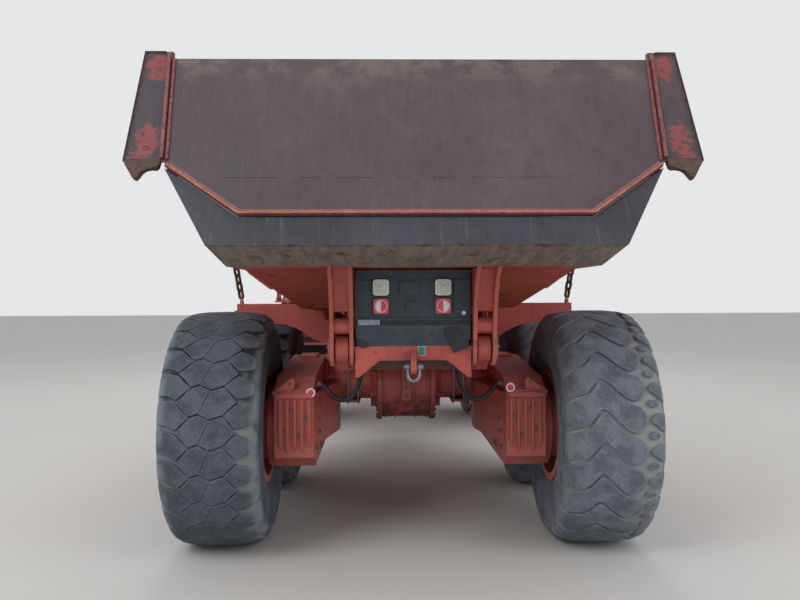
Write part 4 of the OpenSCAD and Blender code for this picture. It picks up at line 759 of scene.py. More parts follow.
earLine = [tailBand([(edgeX(3.145) + 0.05, 3.143), (1.562, 3.143), (1.562, 2.462), (1.44, 2.462)], 0.007, 0.004, 0.003)]
dressPiece("ear_border", mirrored(earLine), primedRim, "tailgate", 0.8)
earEdge = [tailBand([(edgeX(3.16) + 0.04, 3.158), (1.5785, 3.158), (1.5785, 2.445)], -0.013, 0.009, 0.006)]
dressPiece("ear_rubber_edge", mirrored(earEdge), wornEdgeRubber, "tailgate", 2)
hookOutline = [(1.574, 2.452), (1.570, 2.432), (1.548, 2.402), (1.524, 2.366), (1.510, 2.350), (1.496, 2.342),
    (1.484, 2.346), (1.474, 2.364), (1.462, 2.386), (1.446, 2.398), (1.420, 2.404), (1.392, 2.402), (1.380, 2.416),
    (1.376, 2.452)]
hookPlate = prismSolid([onTail(x, z, 0.004) for x, z in hookOutline], onTail(0, 0, -0.030) - onTail(0, 0, 0.004))
hookRib = pipeSolid([onTail(1.565, 2.436, 0.0), onTail(1.500, 2.352, 0.0), onTail(1.470, 2.385, 0.0),
    onTail(1.385, 2.412, 0.0)], 0.007, 8)
dressPiece("ear_hooks", mirrored([hookPlate, hookRib]), rustyHook, "tailgate", 3)
outOfTail = onTail(0, 0, 1) - onTail(0, 0, 0)
holeRings = [turnedSolid(onTail(x, z, -0.004), outOfTail,
    [(0, 0.017), (0.0065, 0.016), (0.0075, 0.011), (0.002, 0.009)]) for x, z in ((1.478, 3.035), (1.470, 2.520))]
dressPiece("ear_hole_rings", mirrored(holeRings), chippedEarPlate, "tailgate", 0)

# Weld bead across the gate, where its two plates meet
weldSettings = {"seed": 4, "halfLength": 1.02, "height": 2.346, "radius": 0.0028, "shareWelded": 0.62}
random.seed(weldSettings["seed"])
weldBead, beadX = [], -weldSettings["halfLength"]
while beadX < weldSettings["halfLength"]:
    step = random.uniform(0.05, 0.12)
    if random.random() < weldSettings["shareWelded"]:
        ends = [onTail(beadX + far, weldSettings["height"] + random.uniform(-0.001, 0.001), out)
            for far, out in ((0, 0.0005), (step * 0.94, 0.0008))]
        weldBead.append(pipeSolid(ends, weldSettings["radius"], 6))
    beadX += step
dressPiece("tailgate_weld", weldBead, faintWeld, "tailgate", 0)

# Webs and cross tubes between the flanges of the two tipping arms
armSettings = {"inX": 0.3775, "outX": 0.4725, "pinY": -4.19, "pinZ": 1.39}
armIn, armOut, pinY, pinZ = armSettings.values()
outerEdge = [(-4.262, 1.612), (-4.282, 1.618), (-4.288, 1.640), (-4.330, 1.742), (-4.392, 1.862), (-4.505, 1.874)]
innerEdge = [(-4.250, 1.620), (-4.272, 1.628), (-4.276, 1.645), (-4.318, 1.748), (-4.380, 1.868), (-4.500, 1.8765)]
armWebs = [sidePlate(outerEdge + innerEdge[::-1], armIn, armOut)]
armWebs.append(turnedSolid((armIn, -4.236, 1.530), (1, 0, 0), [(0, 0.049), (0.095, 0.049)], 32))
armWebs.append(sidePlate([(-4.13, 1.62), (-4.12, 1.74), (-4.02, 1.86), (-4.00, 1.86), (-4.10, 1.72), (-4.112, 1.62)],
    armIn, armOut))
armWebs.append(turnedSolid((0.496, pinY, pinZ), (1, 0, 0),
    [(0, 0.072), (0.008, 0.072), (0.012, 0.066), (0.012, 0.044), (0.004, 0.042), (0.004, 0.0)], 32))
armWebs.append(turnedSolid((0.354, pinY, pinZ), (-1, 0, 0), [(0, 0.066), (0.005, 0.066), (0.008, 0.060), (0.008, 0.0)],
    32))
dressPiece("tipping_arm_webs", mirrored(armWebs), fadedOrangeEnamel, "dump_body", 2)
boltHeads("tipping_pin_bolts", bothSides(boltCircle((0.508, pinY, pinZ), (1, 0, 0), 0.055, 6)), greyFasteners,
    "dump_body", 0.008, 0.007)


# Lamps in the tail panel: rounded squares with turned rings
lampSettings = {"places": (-0.191, 0.179), "whiteZ": 1.758, "redZ": 1.647, "half": 0.048, "corner": 0.019,
    "redHalf": 0.046, "faceY": -4.2622, "depth": 0.007}


def roundedSquare(x, z, half, corner, y, depth, steps=5):
    outline = []
    for sx, sz, start in ((1, 1, 0), (-1, 1, 90), (-1, -1, 180), (1, -1, 270)):
        for k in range(steps + 1):
            turn = math.radians(start + 90 * k / steps)
            outline.append((x + sx * (half - corner) + corner * math.cos(turn),
                z + sz * (half - corner) + corner * math.sin(turn)))
    return backPlate(outline, y - depth, y)


lamps = lampSettings
whiteParts, redParts, paleParts = [], [], []
for x in lamps["places"]:
    face = lamps["faceY"] - lamps["depth"]
    whiteParts.append(roundedSquare(x, lamps["whiteZ"], lamps["half"], lamps["corner"], lamps["faceY"], lamps["depth"]))
    rings = [(-0.001, 0.041)]
    for k, radius in enumerate((0.0395, 0.036, 0.0325, 0.029, 0.0255, 0.022, 0.0185, 0.015)):
        rings.append((0.0045 if k % 2 == 0 else 0.0018, radius))
    rings += [(0.006, 0.012), (0.008, 0.008), (0.009, 0.003), (0.0092, 0.0)]
    whiteParts.append(turnedSolid((x, face, lamps["whiteZ"]), (0, -1, 0), rings, 40))
    redParts.append(roundedSquare(x, lamps["redZ"], lamps["redHalf"], lamps["corner"], lamps["faceY"], lamps["depth"]))
    paleParts.append(turnedSolid((x, face, lamps["redZ"]), (0, -1, 0),
        [(-0.001, 0.0375), (0.003, 0.0375), (0.0035, 0.036), (0.003, 0.0335), (-0.001, 0.0335)], 40))
    for turnStart, parts in ((90, paleParts), (270, redParts)):
        turnFrom = turnStart if x < 0 else 180 + turnStart
        turns = [math.radians(turnFrom + a) for a in range(0, 181, 12)]
        halfDisc = [(x + 0.032 * math.cos(turn), lamps["redZ"] + 0.032 * math.sin(turn)) for turn in turns]
        parts.append(backPlate(halfDisc, face - 0.0035, face + 0.0005))
dressPiece("rear_lamp_lenses_white", whiteParts, whiteLens, "rear_unit", 0.8)
dressPiece("rear_lamp_lenses_red", redParts, redLens, "rear_unit", 0.8)
dressPiece("rear_lamp_reflectors", paleParts, paleReflector, "rear_unit", 0.5)
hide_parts("rear_lamps")
lampBacks = [roundedSquare(x, z, 0.0475, 0.008, -4.2385, 0.0235) for x in lamps["places"]
    for z in (lamps["whiteZ"], lamps["redZ"])]
dressPiece("rear_lamp_housings", lampBacks, blackPanelPlastic, "rear_unit", 1)

# Fittings on the tail panel
panelSettings = {"halfWidth": 0.338, "faceY": -4.249}
panelX, panelY = panelSettings["halfWidth"], panelSettings["faceY"]
panelParts = [boxSolid((-panelX, -4.2585, 1.793), (panelX, panelY, 1.801)),
    boxSolid((-panelX, -4.268, 1.566), (panelX, panelY, 1.5735)),
    boxSolid((-0.337, -4.2655, 1.418), (0.337, -4.2615, 1.424))]
for x0, x1, z0, z1, depth in ((-0.076, 0.035, 1.719, 1.792, 0.016), (-0.043, 0.026, 1.612, 1.673, 0.009)):
    panelParts.append(boxSolid((x0, -4.25 - depth, z0), (x1, panelY, z1)))
    panelParts.append(boxSolid((x0 + 0.01, -4.253 - depth, z0 + 0.008), (x1 - 0.01, -4.25, z1 - 0.012)))
for z0, z1 in ((1.431, 1.437), (1.490, 1.496)):
    panelParts.append(boxSolid((0.126, -4.267, z0), (0.162, -4.261, z1)))
panelParts += [boxSolid((0.126, -4.267, 1.4365), (0.132, -4.261, 1.4905)),
    boxSolid((0.156, -4.267, 1.4365), (0.162, -4.261, 1.4905))]
dressPiece("tail_panel_fittings", panelParts, blackPanelPlastic, "rear_unit", 1.5)
flapOutline = [(0.185, 1.490), (0.199, 1.519), (0.278, 1.520), (0.294, 1.490), (0.328, 1.426), (0.321, 1.397),
    (0.249, 1.369), (0.235, 1.372), (0.214, 1.426)]
rightFlap = [Vector((x, -4.266 - 0.020 * ((1.52 - z) / 0.15) ** 2, z)) for x, z in flapOutline]
leftFlap = [Vector((x, -4.266 - 0.012 * ((1.50 - z) / 0.1) ** 2, z))
    for x, z in ((-panelX, 1.455), (-0.300, 1.438), (-0.262, 1.412), (-0.300, 1.398), (-0.336, 1.420))]
dressPiece("tail_panel_flaps", [prismSolid(rightFlap, (0.001, -0.006, 0.001)), prismSolid(leftFlap, (0, -0.005, 0))],
    hoseRubber, "rear_unit", 1.5)
dressPiece("tail_panel_blank_strip", [backPlate([(-0.328, 1.534), (-0.1985, 1.536), (-0.1985, 1.566), (-0.328, 1.566)],
    -4.2655, -4.2645)], blankStrip, "rear_unit", 0.3)
dressPiece("tail_beam_blank_plate", [boxSolid((0.028, -4.2645, 1.352), (0.073, -4.2602, 1.409))], palePlateEdge,
    "rear_unit", 1)
dressPiece("tail_beam_green_plate", [boxSolid((0.032, -4.2665, 1.356), (0.069, -4.264, 1.405))], greenPlate,
    "rear_unit", 0.6)
dressPiece("panel_ring", [turnedSolid((0.3026, -4.2505, 1.6045), (0, -1, 0),
    [(0, 0.0125), (0.004, 0.0125), (0.005, 0.0115), (0.004, 0.0065), (0.001, 0.0060), (0.001, 0.0)])], paleReflector,
    "rear_unit", 0)
boltHeads("tail_panel_bolts", [((x, -4.2505, z), (0, -1, 0)) for x in (-0.321, 0.321) for z in (1.604, 1.745, 1.835)]
    + [((x, -4.2625, 1.482), (0, -1, 0)) for x in (-0.322, -0.11, 0.11)], blackEnamel, "rear_unit", 0.0075, 0.005)
# A dark strip standing in for the shade under the upper sheet's lower edge: painted shade, not a part of the panel
dressPiece("tail_panel_painted_shade_strip", [boxSolid((-panelX, -4.2641, 1.533), (panelX, -4.2605, 1.5665))], hoseRubber,
    "rear_unit", 0.5)

# Edge bars of the beam's arch, round reflectors on the bogies
archPath = [(-0.343, 1.229), (-0.326, 1.229), (-0.200, 1.329), (0.200, 1.329), (0.326, 1.229), (0.343, 1.229)]
beamEdges = [pipeSolid([(x, -4.262, z) for x, z in archPath], 0.0055, 6, 0.01)]
beamEdges.append(boxSolid((-0.04, -4.274, 1.372), (0.04, -4.2595, 1.379)))
beamEdges += mirrored([boxSolid((0.0175, -4.276, 1.345), (0.029, -4.2595, 1.371))])
dressPiece("tail_beam_edges", beamEdges, fadedOrangeEnamel, "rear_unit", 1)
reflectors, reflectorCores = [], []
for x, z in ((-0.658, 1.071), (0.664, 1.098)):
    reflectors.append(turnedSolid((x, -3.7205, z), (0, -1, 0),
        [(0, 0.031), (0.010, 0.031), (0.013, 0.028), (0.012, 0.021), (0.006, 0.020)], 28))
    reflectorCores.append(turnedSolid((x, -3.7245, z), (0, -1, 0),
        [(0, 0.0205), (0.006, 0.0205), (0.009, 0.015), (0.010, 0.0)], 28))
dressPiece("bogie_reflector_rings", reflectors, paleReflector, "rear_unit", 0)
dressPiece("bogie_reflector_cores", reflectorCores, redLens, "rear_unit", 0)
print("tail done")

# Ribs, covers and rods of the rear axle and its two bogie beams
axleSettings = {"y": -2.54, "z": 1.03, "rearWheelY": -3.39, "midWheelY": -1.69, "drumZ": 0.83, "drumX": 0.6385}
axle = axleSettings
axleY, axleZ, drumX = axle["y"], axle["z"], axle["drumX"]
axleParts = [turnedSolid((x, axleY, axleZ), (1, 0, 0), [(-0.007, 0.28), (-0.007, 0.303), (0.007, 0.303), (0.007, 0.28)],
    56) for x in (-0.165, -0.082, 0.082, 0.165)]
coverEdge = [(-0.028, 0.905), (-0.034, 0.93), (-0.034, 1.08), (-0.026, 1.105), (0.0, 1.116), (0.026, 1.105),
    (0.034, 1.08), (0.034, 0.93), (0.028, 0.905), (0.0, 0.894)]
axleParts.append(backPlate(coverEdge, -2.871, -2.853))
for x, z in ((0, 1.065), (0, 0.935)):
    axleParts.append(turnedSolid((x, -2.870, z), (0, -1, 0),
        [(0, 0.020), (0.008, 0.019), (0.010, 0.015), (0.010, 0.008), (0.004, 0.007), (0.004, 0.0)]))
axleParts += mirrored([sidePlate([(-2.70, 1.14), (-2.60, 1.30), (-2.48, 1.30), (-2.40, 1.14)], 0.118, 0.134),
    turnedSolid((0.10, -2.56, 1.262), (1, 0, 0), [(0, 0.048), (0.06, 0.048)], 24),
    turnedSolid((0.2255, axleY, axleZ), (1, 0, 0), [(0, 0.24), (0.006, 0.24), (0.012, 0.225), (0.05, 0.172),
    (0.055, 0.15)], 48)])
dressPiece("rear_axle_ribs", axleParts, oilAndShadeEnamel, "rear_unit", 2)
boltHeads("rear_axle_bolts", bothSides(boltCircle((0.222, axleY, axleZ), (1, 0, 0), 0.301, 24))
    + boltCircle((0, -2.871, 1.0), (0, -1, 0), 0.0, 1), greyFasteners, "rear_unit", 0.011, 0.010)
axleClamps = []
for x in (0.378, 0.458):
    axleClamps += [pipeSolid([(x, -2.707, 1.225), (x, -2.707, 0.885), (x, -2.64, 0.852), (x, -2.44, 0.852),
        (x, -2.373, 0.885), (x, -2.373, 1.225)], 0.0075, 8, 0.05),
        boxSolid((x - 0.02, -2.73, 1.196), (x + 0.02, -2.685, 1.206)),
        boxSolid((x - 0.02, -2.395, 1.196), (x + 0.02, -2.35, 1.206))]
dressPiece("axle_clamps", mirrored(axleClamps), zincSteel, "rear_unit", 0)
clampPads = [boxSolid((0.352, -2.72, 1.166), (0.484, -2.36, 1.196)),
    boxSolid((0.362, -2.68, 0.862), (0.474, -2.40, 0.883))]
dressPiece("axle_clamp_pads", mirrored(clampPads), fadedOrangeEnamel, "rear_unit", 3)
pipes = [pipeSolid([(0.30, -2.70, 1.205), (0.30, -2.75, 1.205), (0.30, -2.80, 1.16), (0.12, -2.87, 1.20),
    (0.045, -2.865, 1.20)], 0.006, 8), pipeSolid([(-0.32, -3.30, 1.262), (-0.32, -2.95, 1.262), (-0.26, -2.82, 1.235),
    (-0.10, -2.80, 1.262), (0.26, -2.80, 1.262), (0.32, -2.95, 1.235), (0.32, -3.30, 1.262)], 0.006, 8)]
dressPiece("axle_brake_pipes", pipes, greyFasteners, "rear_unit", 0)

beamParts, beamFins = [], []
for x, low in ((0.668, 0.70), (0.716, 0.665), (0.764, 0.68), (0.812, 0.66), (0.858, 0.69)):
    beamFins.append(sidePlate([(-3.719, 1.035), (-3.741, 1.028), (-3.741, low + 0.05), (-3.719, low)], x - 0.010,
        x + 0.010))
beamFins.append(boxSolid((0.652, -3.739, 1.033), (0.886, -3.719, 1.066)))
beamFins.append(backPlate([(0.765, 1.095), (0.905, 1.03), (0.915, 1.075), (0.785, 1.165), (0.765, 1.15)], -3.712,
    -3.700))
dressPiece("bogie_end_fins", mirrored(beamFins), fadedOrangeEnamel, "rear_unit", 2.5)
for wheelY in (axle["rearWheelY"], axle["midWheelY"]):
    beamParts.append(turnedSolid((drumX, wheelY, axle["drumZ"]), (-1, 0, 0),
        [(0, 0.20), (0.012, 0.20), (0.02, 0.19), (0.024, 0.15), (0.020, 0.12), (0.020, 0.0)], 40))
    beamParts.append(turnedSolid((0.62, wheelY, axle["drumZ"]), (-1, 0, 0),
        [(0, 0.062), (0.018, 0.060), (0.022, 0.052), (0.022, 0.0)], 28))
beamParts += [boxSolid((0.628, -3.30, 0.62), (0.640, -1.78, 0.645)),
    boxSolid((0.628, -3.10, 1.125), (0.640, -1.98, 1.150)),
    turnedSolid((drumX, axleY, axleZ), (-1, 0, 0), [(0, 0.215), (0.014, 0.215), (0.022, 0.205), (0.022, 0.155)], 40),
    boxSolid((0.70, -2.70, 1.20), (0.84, -2.38, 1.238))]
dressPiece("bogie_beam_covers", mirrored(beamParts), fadedOrangeEnamel, "rear_unit", 3)
beamBolts = []
for y, z, radius, count in ((axle["rearWheelY"], axle["drumZ"], 0.175, 12),
        (axle["midWheelY"], axle["drumZ"], 0.175, 12), (axleY, axleZ, 0.188, 16)):
    beamBolts += boltCircle((0.6195, y, z), (-1, 0, 0), radius, count)
beamBolts += [((x, -3.7205, z), (0, -1, 0)) for x, z in ((0.692, 0.90), (0.740, 0.78), (0.788, 0.95), (0.836, 0.82))]
boltHeads("bogie_bolts", bothSides(beamBolts), greyFasteners, "rear_unit", 0.013, 0.011)
boltHeads("bogie_bracket_bolts", bothSides([((0.80, -3.712, 1.128), (0, -1, 0)), ((0.875, -3.712, 1.075), (0, -1, 0))]),
    greyFasteners, "rear_unit", 0.011, 0.008)
print("axle done")

# Wheel ends: hub covers with their ribs, nuts and the valve on every rim
wheelSettings = {"nutRing": 0.222, "nuts": 20, "ribTurn": 30}


def dressWheel(row, side):
    sign = 1 if side == "right" else -1
    body, axis = f"wheel_{row}_{side}", (sign, 0, 0)

    def place(x, forward=0.0, up=0.0):
        return Vector((sign * x, tyreSettings["rows"][row] + forward, tyreSettings["radius"] + up))

    cover = [(0, 0.128), (0.006, 0.130), (0.012, 0.126), (0.020, 0.118), (0.030, 0.112), (0.046, 0.088), (0.050, 0.070),
        (0.046, 0.058), (0.050, 0.040), (0.056, 0.034), (0.056, 0.0)]
    parts = [turnedSolid(place(1.2775), axis, cover, 48)]
    for turn in range(0, 360, wheelSettings["ribTurn"]):
        cosine, sine = math.cos(math.radians(turn)), math.sin(math.radians(turn))
        rib = [place(x, cosine * reach - sine * 0.005, sine * reach + cosine * 0.005)
            for reach, x in ((0.110, 1.2835), (0.110, 1.306), (0.080, 1.326), (0.080, 1.2835))]
        parts.append(prismSolid(rib, (0, sine * 0.010, -cosine * 0.010)))
    parts.append(turnedSolid(place(1.2275), axis, [(0, 0.246), (0.008, 0.246), (0.012, 0.240), (0.010, 0.200),
        (0.010, 0.165)], 64))
    dressPiece(f"hub_cover_{row}_{side}", parts, fadedOrangeEnamel, body, 1.5)
    wheelNuts = boltCircle(place(1.2385), axis, wheelSettings["nutRing"],
        wheelSettings["nuts"]) + boltCircle(place(1.2775), axis, 0.139, 12, 0.2)
    boltHeads(f"wheel_nuts_{row}_{side}", wheelNuts, greyFasteners, body, 0.015, 0.020)
    lockRing = turnedSolid(place(1.535), axis, [(0, 0.364), (0.002, 0.389), (0.010, 0.394), (0.020, 0.391),
        (0.026, 0.380), (0.020, 0.366), (0.012, 0.360)], 72, True)
    dressPiece(f"rim_ring_{row}_{side}", [lockRing], fadedOrangeEnamel, body, 0)
    stem = pipeSolid([place(1.20, 0.31), place(1.27, 0.325), place(1.33, 0.335)], 0.007, 8)
    cap = turnedSolid(place(1.318, 0.333), axis, [(0, 0.010), (0.028, 0.010), (0.032, 0.006)], 12)
    dressPiece(f"valve_{row}_{side}", [stem, cap], greyFasteners, body, 0)


for row in ("rear", "mid", "front"):
    for side in ("left", "right"):
        dressWheel(row, side)
print("wheel ends done")


# Cab: rubber seals, door fittings, wiper, roof lamps. Positions follow the cab's own openings
cabSettings = {"halfWidth": 0.78, "sealWidth": 0.022, "sealOut": 0.007, "windowLow": 2.32, "windowTop": 3.26}


# A frame of four bars round an opening in the plane x = const (rows of (y, z)) or y = const (rows of (x, z))
def frameBars(plane, at, a0, a1, z0, z1, wide, out, lean=0.0):
    bars = []
    for b0, low, b1, high in ((a0 - wide, z0 - wide, a1 + wide, z0), (a0 - wide, z1, a1 + wide, z1 + wide),
            (a0 - wide, z0, a0, z1), (a1, z0, a1 + wide, z1)):
        if plane == "x":
            bars.append(boxSolid((min(at, at + out), b0, low), (max(at, at + out), b1, high)))
        else:
            near = [(a, at + lean * (z - z0), z) for a, z in ((b0, low), (b1, low), (b1, high), (b0, high))]
            bars.append(prismSolid(near, (0, out, 0)))
    return bars


cab = cabSettings
cabX, windowLow, windowTop, sealWidth, sealOut = (cab[name]
    for name in ("halfWidth", "windowLow", "windowTop", "sealWidth", "sealOut"))
seals = frameBars("x", cabX, 1.64, 2.89, windowLow, windowTop, sealWidth, sealOut)
seals += frameBars("x", -cabX, 2.53, 2.89, windowLow, windowTop, sealWidth, -sealOut)
seals += frameBars("y", 1.50, -0.60, 0.60, windowLow, windowTop, sealWidth, -sealOut)
seals += frameBars("y", 3.079, -0.68, 0.68, 2.305, windowTop, sealWidth, sealOut, -0.0991)
dressPiece("cab_window_seals", seals, wornEdgeRubber, "front_unit", 3)
dressPiece("cab_door_seal", frameBars("x", -cabX, 1.73, 2.37, windowLow, 3.21, sealWidth, -sealOut), wornEdgeRubber,
    "cab_door", 3)
doorTrim = frameBars("x", -0.7795, 1.72, 2.38, 1.86, 2.20, 0.014,
    -0.006) + [boxSolid((-0.800, 2.385, 2.205), (-0.779, 2.425, 2.255)),
    boxSolid((-0.818, 2.28, 2.216), (-0.800, 2.42, 2.240))]
dressPiece("cab_door_trim", doorTrim, fadedOrangeEnamel, "cab_door", 3)
dressPiece("cab_door_handle", [pipeSolid([(-0.781, 2.40, 1.90), (-0.835, 2.40, 1.90), (-0.835, 2.40, 2.18),
    (-0.781, 2.40, 2.18)], 0.011, 10), boxSolid((-0.826, 2.27, 2.210), (-0.816, 2.43, 2.246))], blackEnamel, "cab_door",
    1.5)
cabTrim = [boxSolid((x - 0.045, 1.62, 3.447), (x + 0.045, 2.74, 3.462)) for x in (-0.5, -0.17, 0.17, 0.5)]
cabTrim += mirrored([pipeSolid([(0.762, 1.52, 3.405), (0.792, 1.56, 3.405), (0.792, 2.90, 3.405), (0.762, 2.94, 3.405)],
    0.010, 8), boxSolid((0.779, 1.56, 1.80), (0.788, 2.90, 1.84)),
    boxSolid((0.779, 1.52, 2.235), (0.786, 3.00, 2.262))])
cabTrim += [boxSolid((-0.70, 3.079, 2.235), (0.70, 3.092, 2.262)), boxSolid((-0.5, 1.488, 1.86), (0.5, 1.501, 2.18)),
    boxSolid((-0.46, 1.482, 1.90), (0.46, 1.489, 2.14))]
dressPiece("cab_body_trim", cabTrim, fadedOrangeEnamel, "front_unit", 4)
rails = [pipeSolid([(-0.781, 2.49, 1.95), (-0.85, 2.49, 1.95), (-0.85, 2.49, 2.95), (-0.781, 2.49, 2.95)], 0.014, 12),
    pipeSolid([(0.781, 1.56, 1.95), (0.85, 1.56, 1.95), (0.85, 1.56, 2.95), (0.781, 1.56, 2.95)], 0.014, 12)]
wiper = [turnedSolid((0.12, 3.075, 2.27), (0, 1, -0.1), [(0, 0.030), (0.03, 0.028), (0.045, 0.018), (0.05, 0.0)], 20),
    pipeSolid([(0.12, 3.112, 2.275), (-0.10, 3.085, 2.60), (-0.24, 3.062, 2.83)], 0.007, 8),
    pipeSolid([(-0.37, 3.082, 2.52), (-0.24, 3.055, 2.82), (-0.11, 3.028, 3.12)], 0.009, 6)]
dressPiece("cab_grab_rails", rails + wiper, blackEnamel, "front_unit", 0)
roofLampSettings = {"frontX": (-0.56, -0.34, 0.34, 0.56), "rearX": (-0.42, 0.42)}
lampBoxes, lampGlass = [], []
for x in roofLampSettings["frontX"]:
    lampBoxes += [boxSolid((x - 0.085, 2.955, 3.345), (x + 0.085, 3.035, 3.445)),
        boxSolid((x - 0.02, 2.90, 3.40), (x + 0.02, 2.97, 3.42))]
    lampGlass.append(boxSolid((x - 0.072, 3.034, 3.357), (x + 0.072, 3.040, 3.433)))
for x in roofLampSettings["rearX"]:
    lampBoxes += [boxSolid((x - 0.075, 1.425, 3.300), (x + 0.075, 1.485, 3.390)),
        boxSolid((x - 0.02, 1.48, 3.33), (x + 0.02, 1.51, 3.36))]
    lampGlass.append(boxSolid((x - 0.062, 1.419, 3.311), (x + 0.062, 1.426, 3.379)))
dressPiece("roof_lamp_boxes", lampBoxes, blackEnamel, "front_unit", 4)
dressPiece("roof_lamp_lenses", lampGlass, whiteLens, "front_unit", 2)

# Driver's seat: crowned cushions, their sides pulled in between the corners, a stitched groove along each side
seatSettings = {"cushion": ((-0.25, 1.74, 2.080), (0.25, 2.23, 2.210)), "steps": 14, "crown": 0.022, "pullIn": 0.012}


def paddedBlock(name, low, high, crown, pull, tilt=None):
    steps, size = seatSettings["steps"], [b - a for a, b in zip(low, high)]
    mesh = bmesh.new()
    bmesh.ops.create_cube(mesh, size=1.0)
    bmesh.ops.subdivide_edges(mesh, edges=mesh.edges[:], cuts=steps, use_grid_fill=True)
    for vertex in mesh.verts:
        u, v, w = (2 * c for c in vertex.co)
        rounded = 1 - 0.10 * (max(abs(u), abs(v)) ** 6)
        bulge = (1 - u ** 4) * (1 - v ** 4)
        channel = 0.006 * math.exp(-((abs(u) - 0.52) / 0.05) ** 2) * (1 if w > 0.9 else 0)
        shrinkU, shrinkV = 1 - pull / size[0] * 2 * (1 - v * v) * abs(u), 1 - pull / size[1] * 2 * (1 - u * u) * abs(v)
        corner = 1 - 0.11 * abs(u * v) ** 4
        raised = (w * rounded * 0.5) * size[2] + (crown * bulge * (w if w > 0 else 0.25 * w)) - channel
        vertex.co = Vector((u * 0.5 * size[0] * shrinkU * corner, v * 0.5 * size[1] * shrinkV * corner, raised))
    mesh.verts.index_update()
    vertices = [v.co.copy() for v in mesh.verts]
    faces = [tuple(v.index for v in face.verts) for face in mesh.faces]
    mesh.free()
    centre = Vector([(a + b) / 2 for a, b in zip(low, high)])
    if tilt:
        vertices = [tilt @ v for v in vertices]
    piece = newPiece(name, [v + centre for v in vertices], faces, darkVinyl, "front_unit", smooth=True)
    return piece


paddedBlock("seat_cushion", *seatSettings["cushion"], seatSettings["crown"], seatSettings["pullIn"])
paddedBlock("seat_back", (-0.24, 1.395, 2.465), (0.24, 2.085, 2.575), seatSettings["crown"], seatSettings["pullIn"],
    Matrix.Rotation(math.radians(-82), 3, "X"))
fittings = [prismSolid([(-0.13, 1.82, 1.7803), (0.13, 1.82, 1.7803), (0.13, 2.08, 1.7803), (-0.13, 2.08, 1.7803)],
    (0, 0, 0.06))]
fittings += [boxSolid((-0.10, 1.86, 1.83 + 0.04 * k), (0.10, 2.05, 1.865 + 0.04 * k)) for k in range(6)]
fittings.append(boxSolid((-0.21, 1.78, 2.062), (0.21, 2.16, 2.083)))
fittings.append(sidePlate([(2.76, 1.7803), (2.98, 1.7803), (2.98, 2.30), (2.80, 2.34), (2.70, 2.26)], -0.62, 0.62))
fittings += [boxSolid((-0.16, 2.705, 2.262), (0.16, 2.72, 2.30)),
    sidePlate([(1.86, 1.7803), (2.30, 1.7803), (2.30, 2.12), (2.22, 2.22), (1.90, 2.20)], 0.36, 0.52)]
steeringSettings = {"centre": (0, 2.64, 2.42), "tiltDegrees": -40, "radius": 0.2, "rimRadius": 0.015,
    "spokes": (90, 210, 330)}
wheelCentre = Vector(steeringSettings["centre"])
wheelTilt = Matrix.Rotation(math.radians(steeringSettings["tiltDegrees"]), 3, "X")
wheelUp, rimRings = wheelTilt @ Vector((0, 0, 1)), []
for a in range(0, 360, 10):
    outwards = wheelTilt @ Vector((math.cos(math.radians(a)), math.sin(math.radians(a)), 0))
    rimRings.append([wheelCentre + outwards * steeringSettings["radius"]
        + (outwards * math.cos(math.pi * k / 5) + wheelUp * math.sin(math.pi * k / 5)) * steeringSettings["rimRadius"]
        for k in range(10)])
fittings.append(ringSolid(rimRings, True))
for a in steeringSettings["spokes"]:
    outwards = wheelTilt @ Vector((math.cos(math.radians(a)), math.sin(math.radians(a)), 0))
    fittings.append(pipeSolid([wheelCentre, wheelCentre + outwards * 0.195], 0.010, 8))
fittings.append(turnedSolid(wheelCentre - wheelUp * 0.19, wheelUp,
    [(0, 0.030), (0.16, 0.030), (0.17, 0.045), (0.20, 0.042), (0.205, 0.0)], 24))
dressPiece("cab_controls", fittings, darkVinyl, "front_unit", 4)
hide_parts("cab_fittings")

# Hood, intake, grille and bumper
hoodParts = mirrored([boxSolid((0.7595, 3.20, 1.53), (0.768, 4.70, 1.56)),
    boxSolid((0.7595, 4.16, 1.58), (0.766, 4.66, 1.60)), boxSolid((0.7595, 4.16, 1.90), (0.766, 4.62, 1.92)),
    pipeSolid([(0.76, 4.30, 1.72), (0.80, 4.30, 1.72), (0.80, 4.50, 1.72), (0.76, 4.50, 1.72)], 0.010, 10)])
hoodParts += [prismSolid([(x - 0.02, 3.30, 2.2575), (x + 0.02, 3.30, 2.2575), (x + 0.02, 3.68, 2.2435),
    (x - 0.02, 3.68, 2.2435)], (0, 0, 0.014)) for x in (-0.30, 0.30)]
hoodParts += frameBars("y", 4.819, -0.52, 0.52, 1.53, 1.77, 0.03, 0.008)
dressPiece("hood_trim", hoodParts, fadedOrangeEnamel, "hood", 3)
intake = [turnedSolid((0.42, 3.55, 2.235), (0, 0, 1),
    [(0, 0.075), (0.10, 0.075), (0.11, 0.09), (0.13, 0.13), (0.20, 0.135), (0.24, 0.125), (0.27, 0.08), (0.275, 0.0)],
    40)]
intake += mirrored([boxSolid((0.768, y, 1.575), (0.785, y + 0.04, 1.66)) for y in (3.32, 4.22)])
dressPiece("hood_air_intake", intake, blackPanelPlastic, "hood", 2)
screenSettings = {"rows": 19, "columns": 51, "fins": 46, "lowFins": 26, "finStep": 0.022}
screen = [boxSolid((-0.505, 4.7905, 1.545 + 0.0115 * k), (0.505, 4.7935, 1.5475 + 0.0115 * k))
    for k in range(screenSettings["rows"])]
screen += [boxSolid((-0.50 + 0.02 * k, 4.7875, 1.54), (-0.4975 + 0.02 * k, 4.7905, 1.76))
    for k in range(screenSettings["columns"])]
screen.append(boxSolid((-0.545, 4.7835, 1.518), (0.545, 4.7870, 1.776)))  # a dark sheet behind the wires
dressPiece("grille_screen", screen, blackEnamel, "hood", 0)
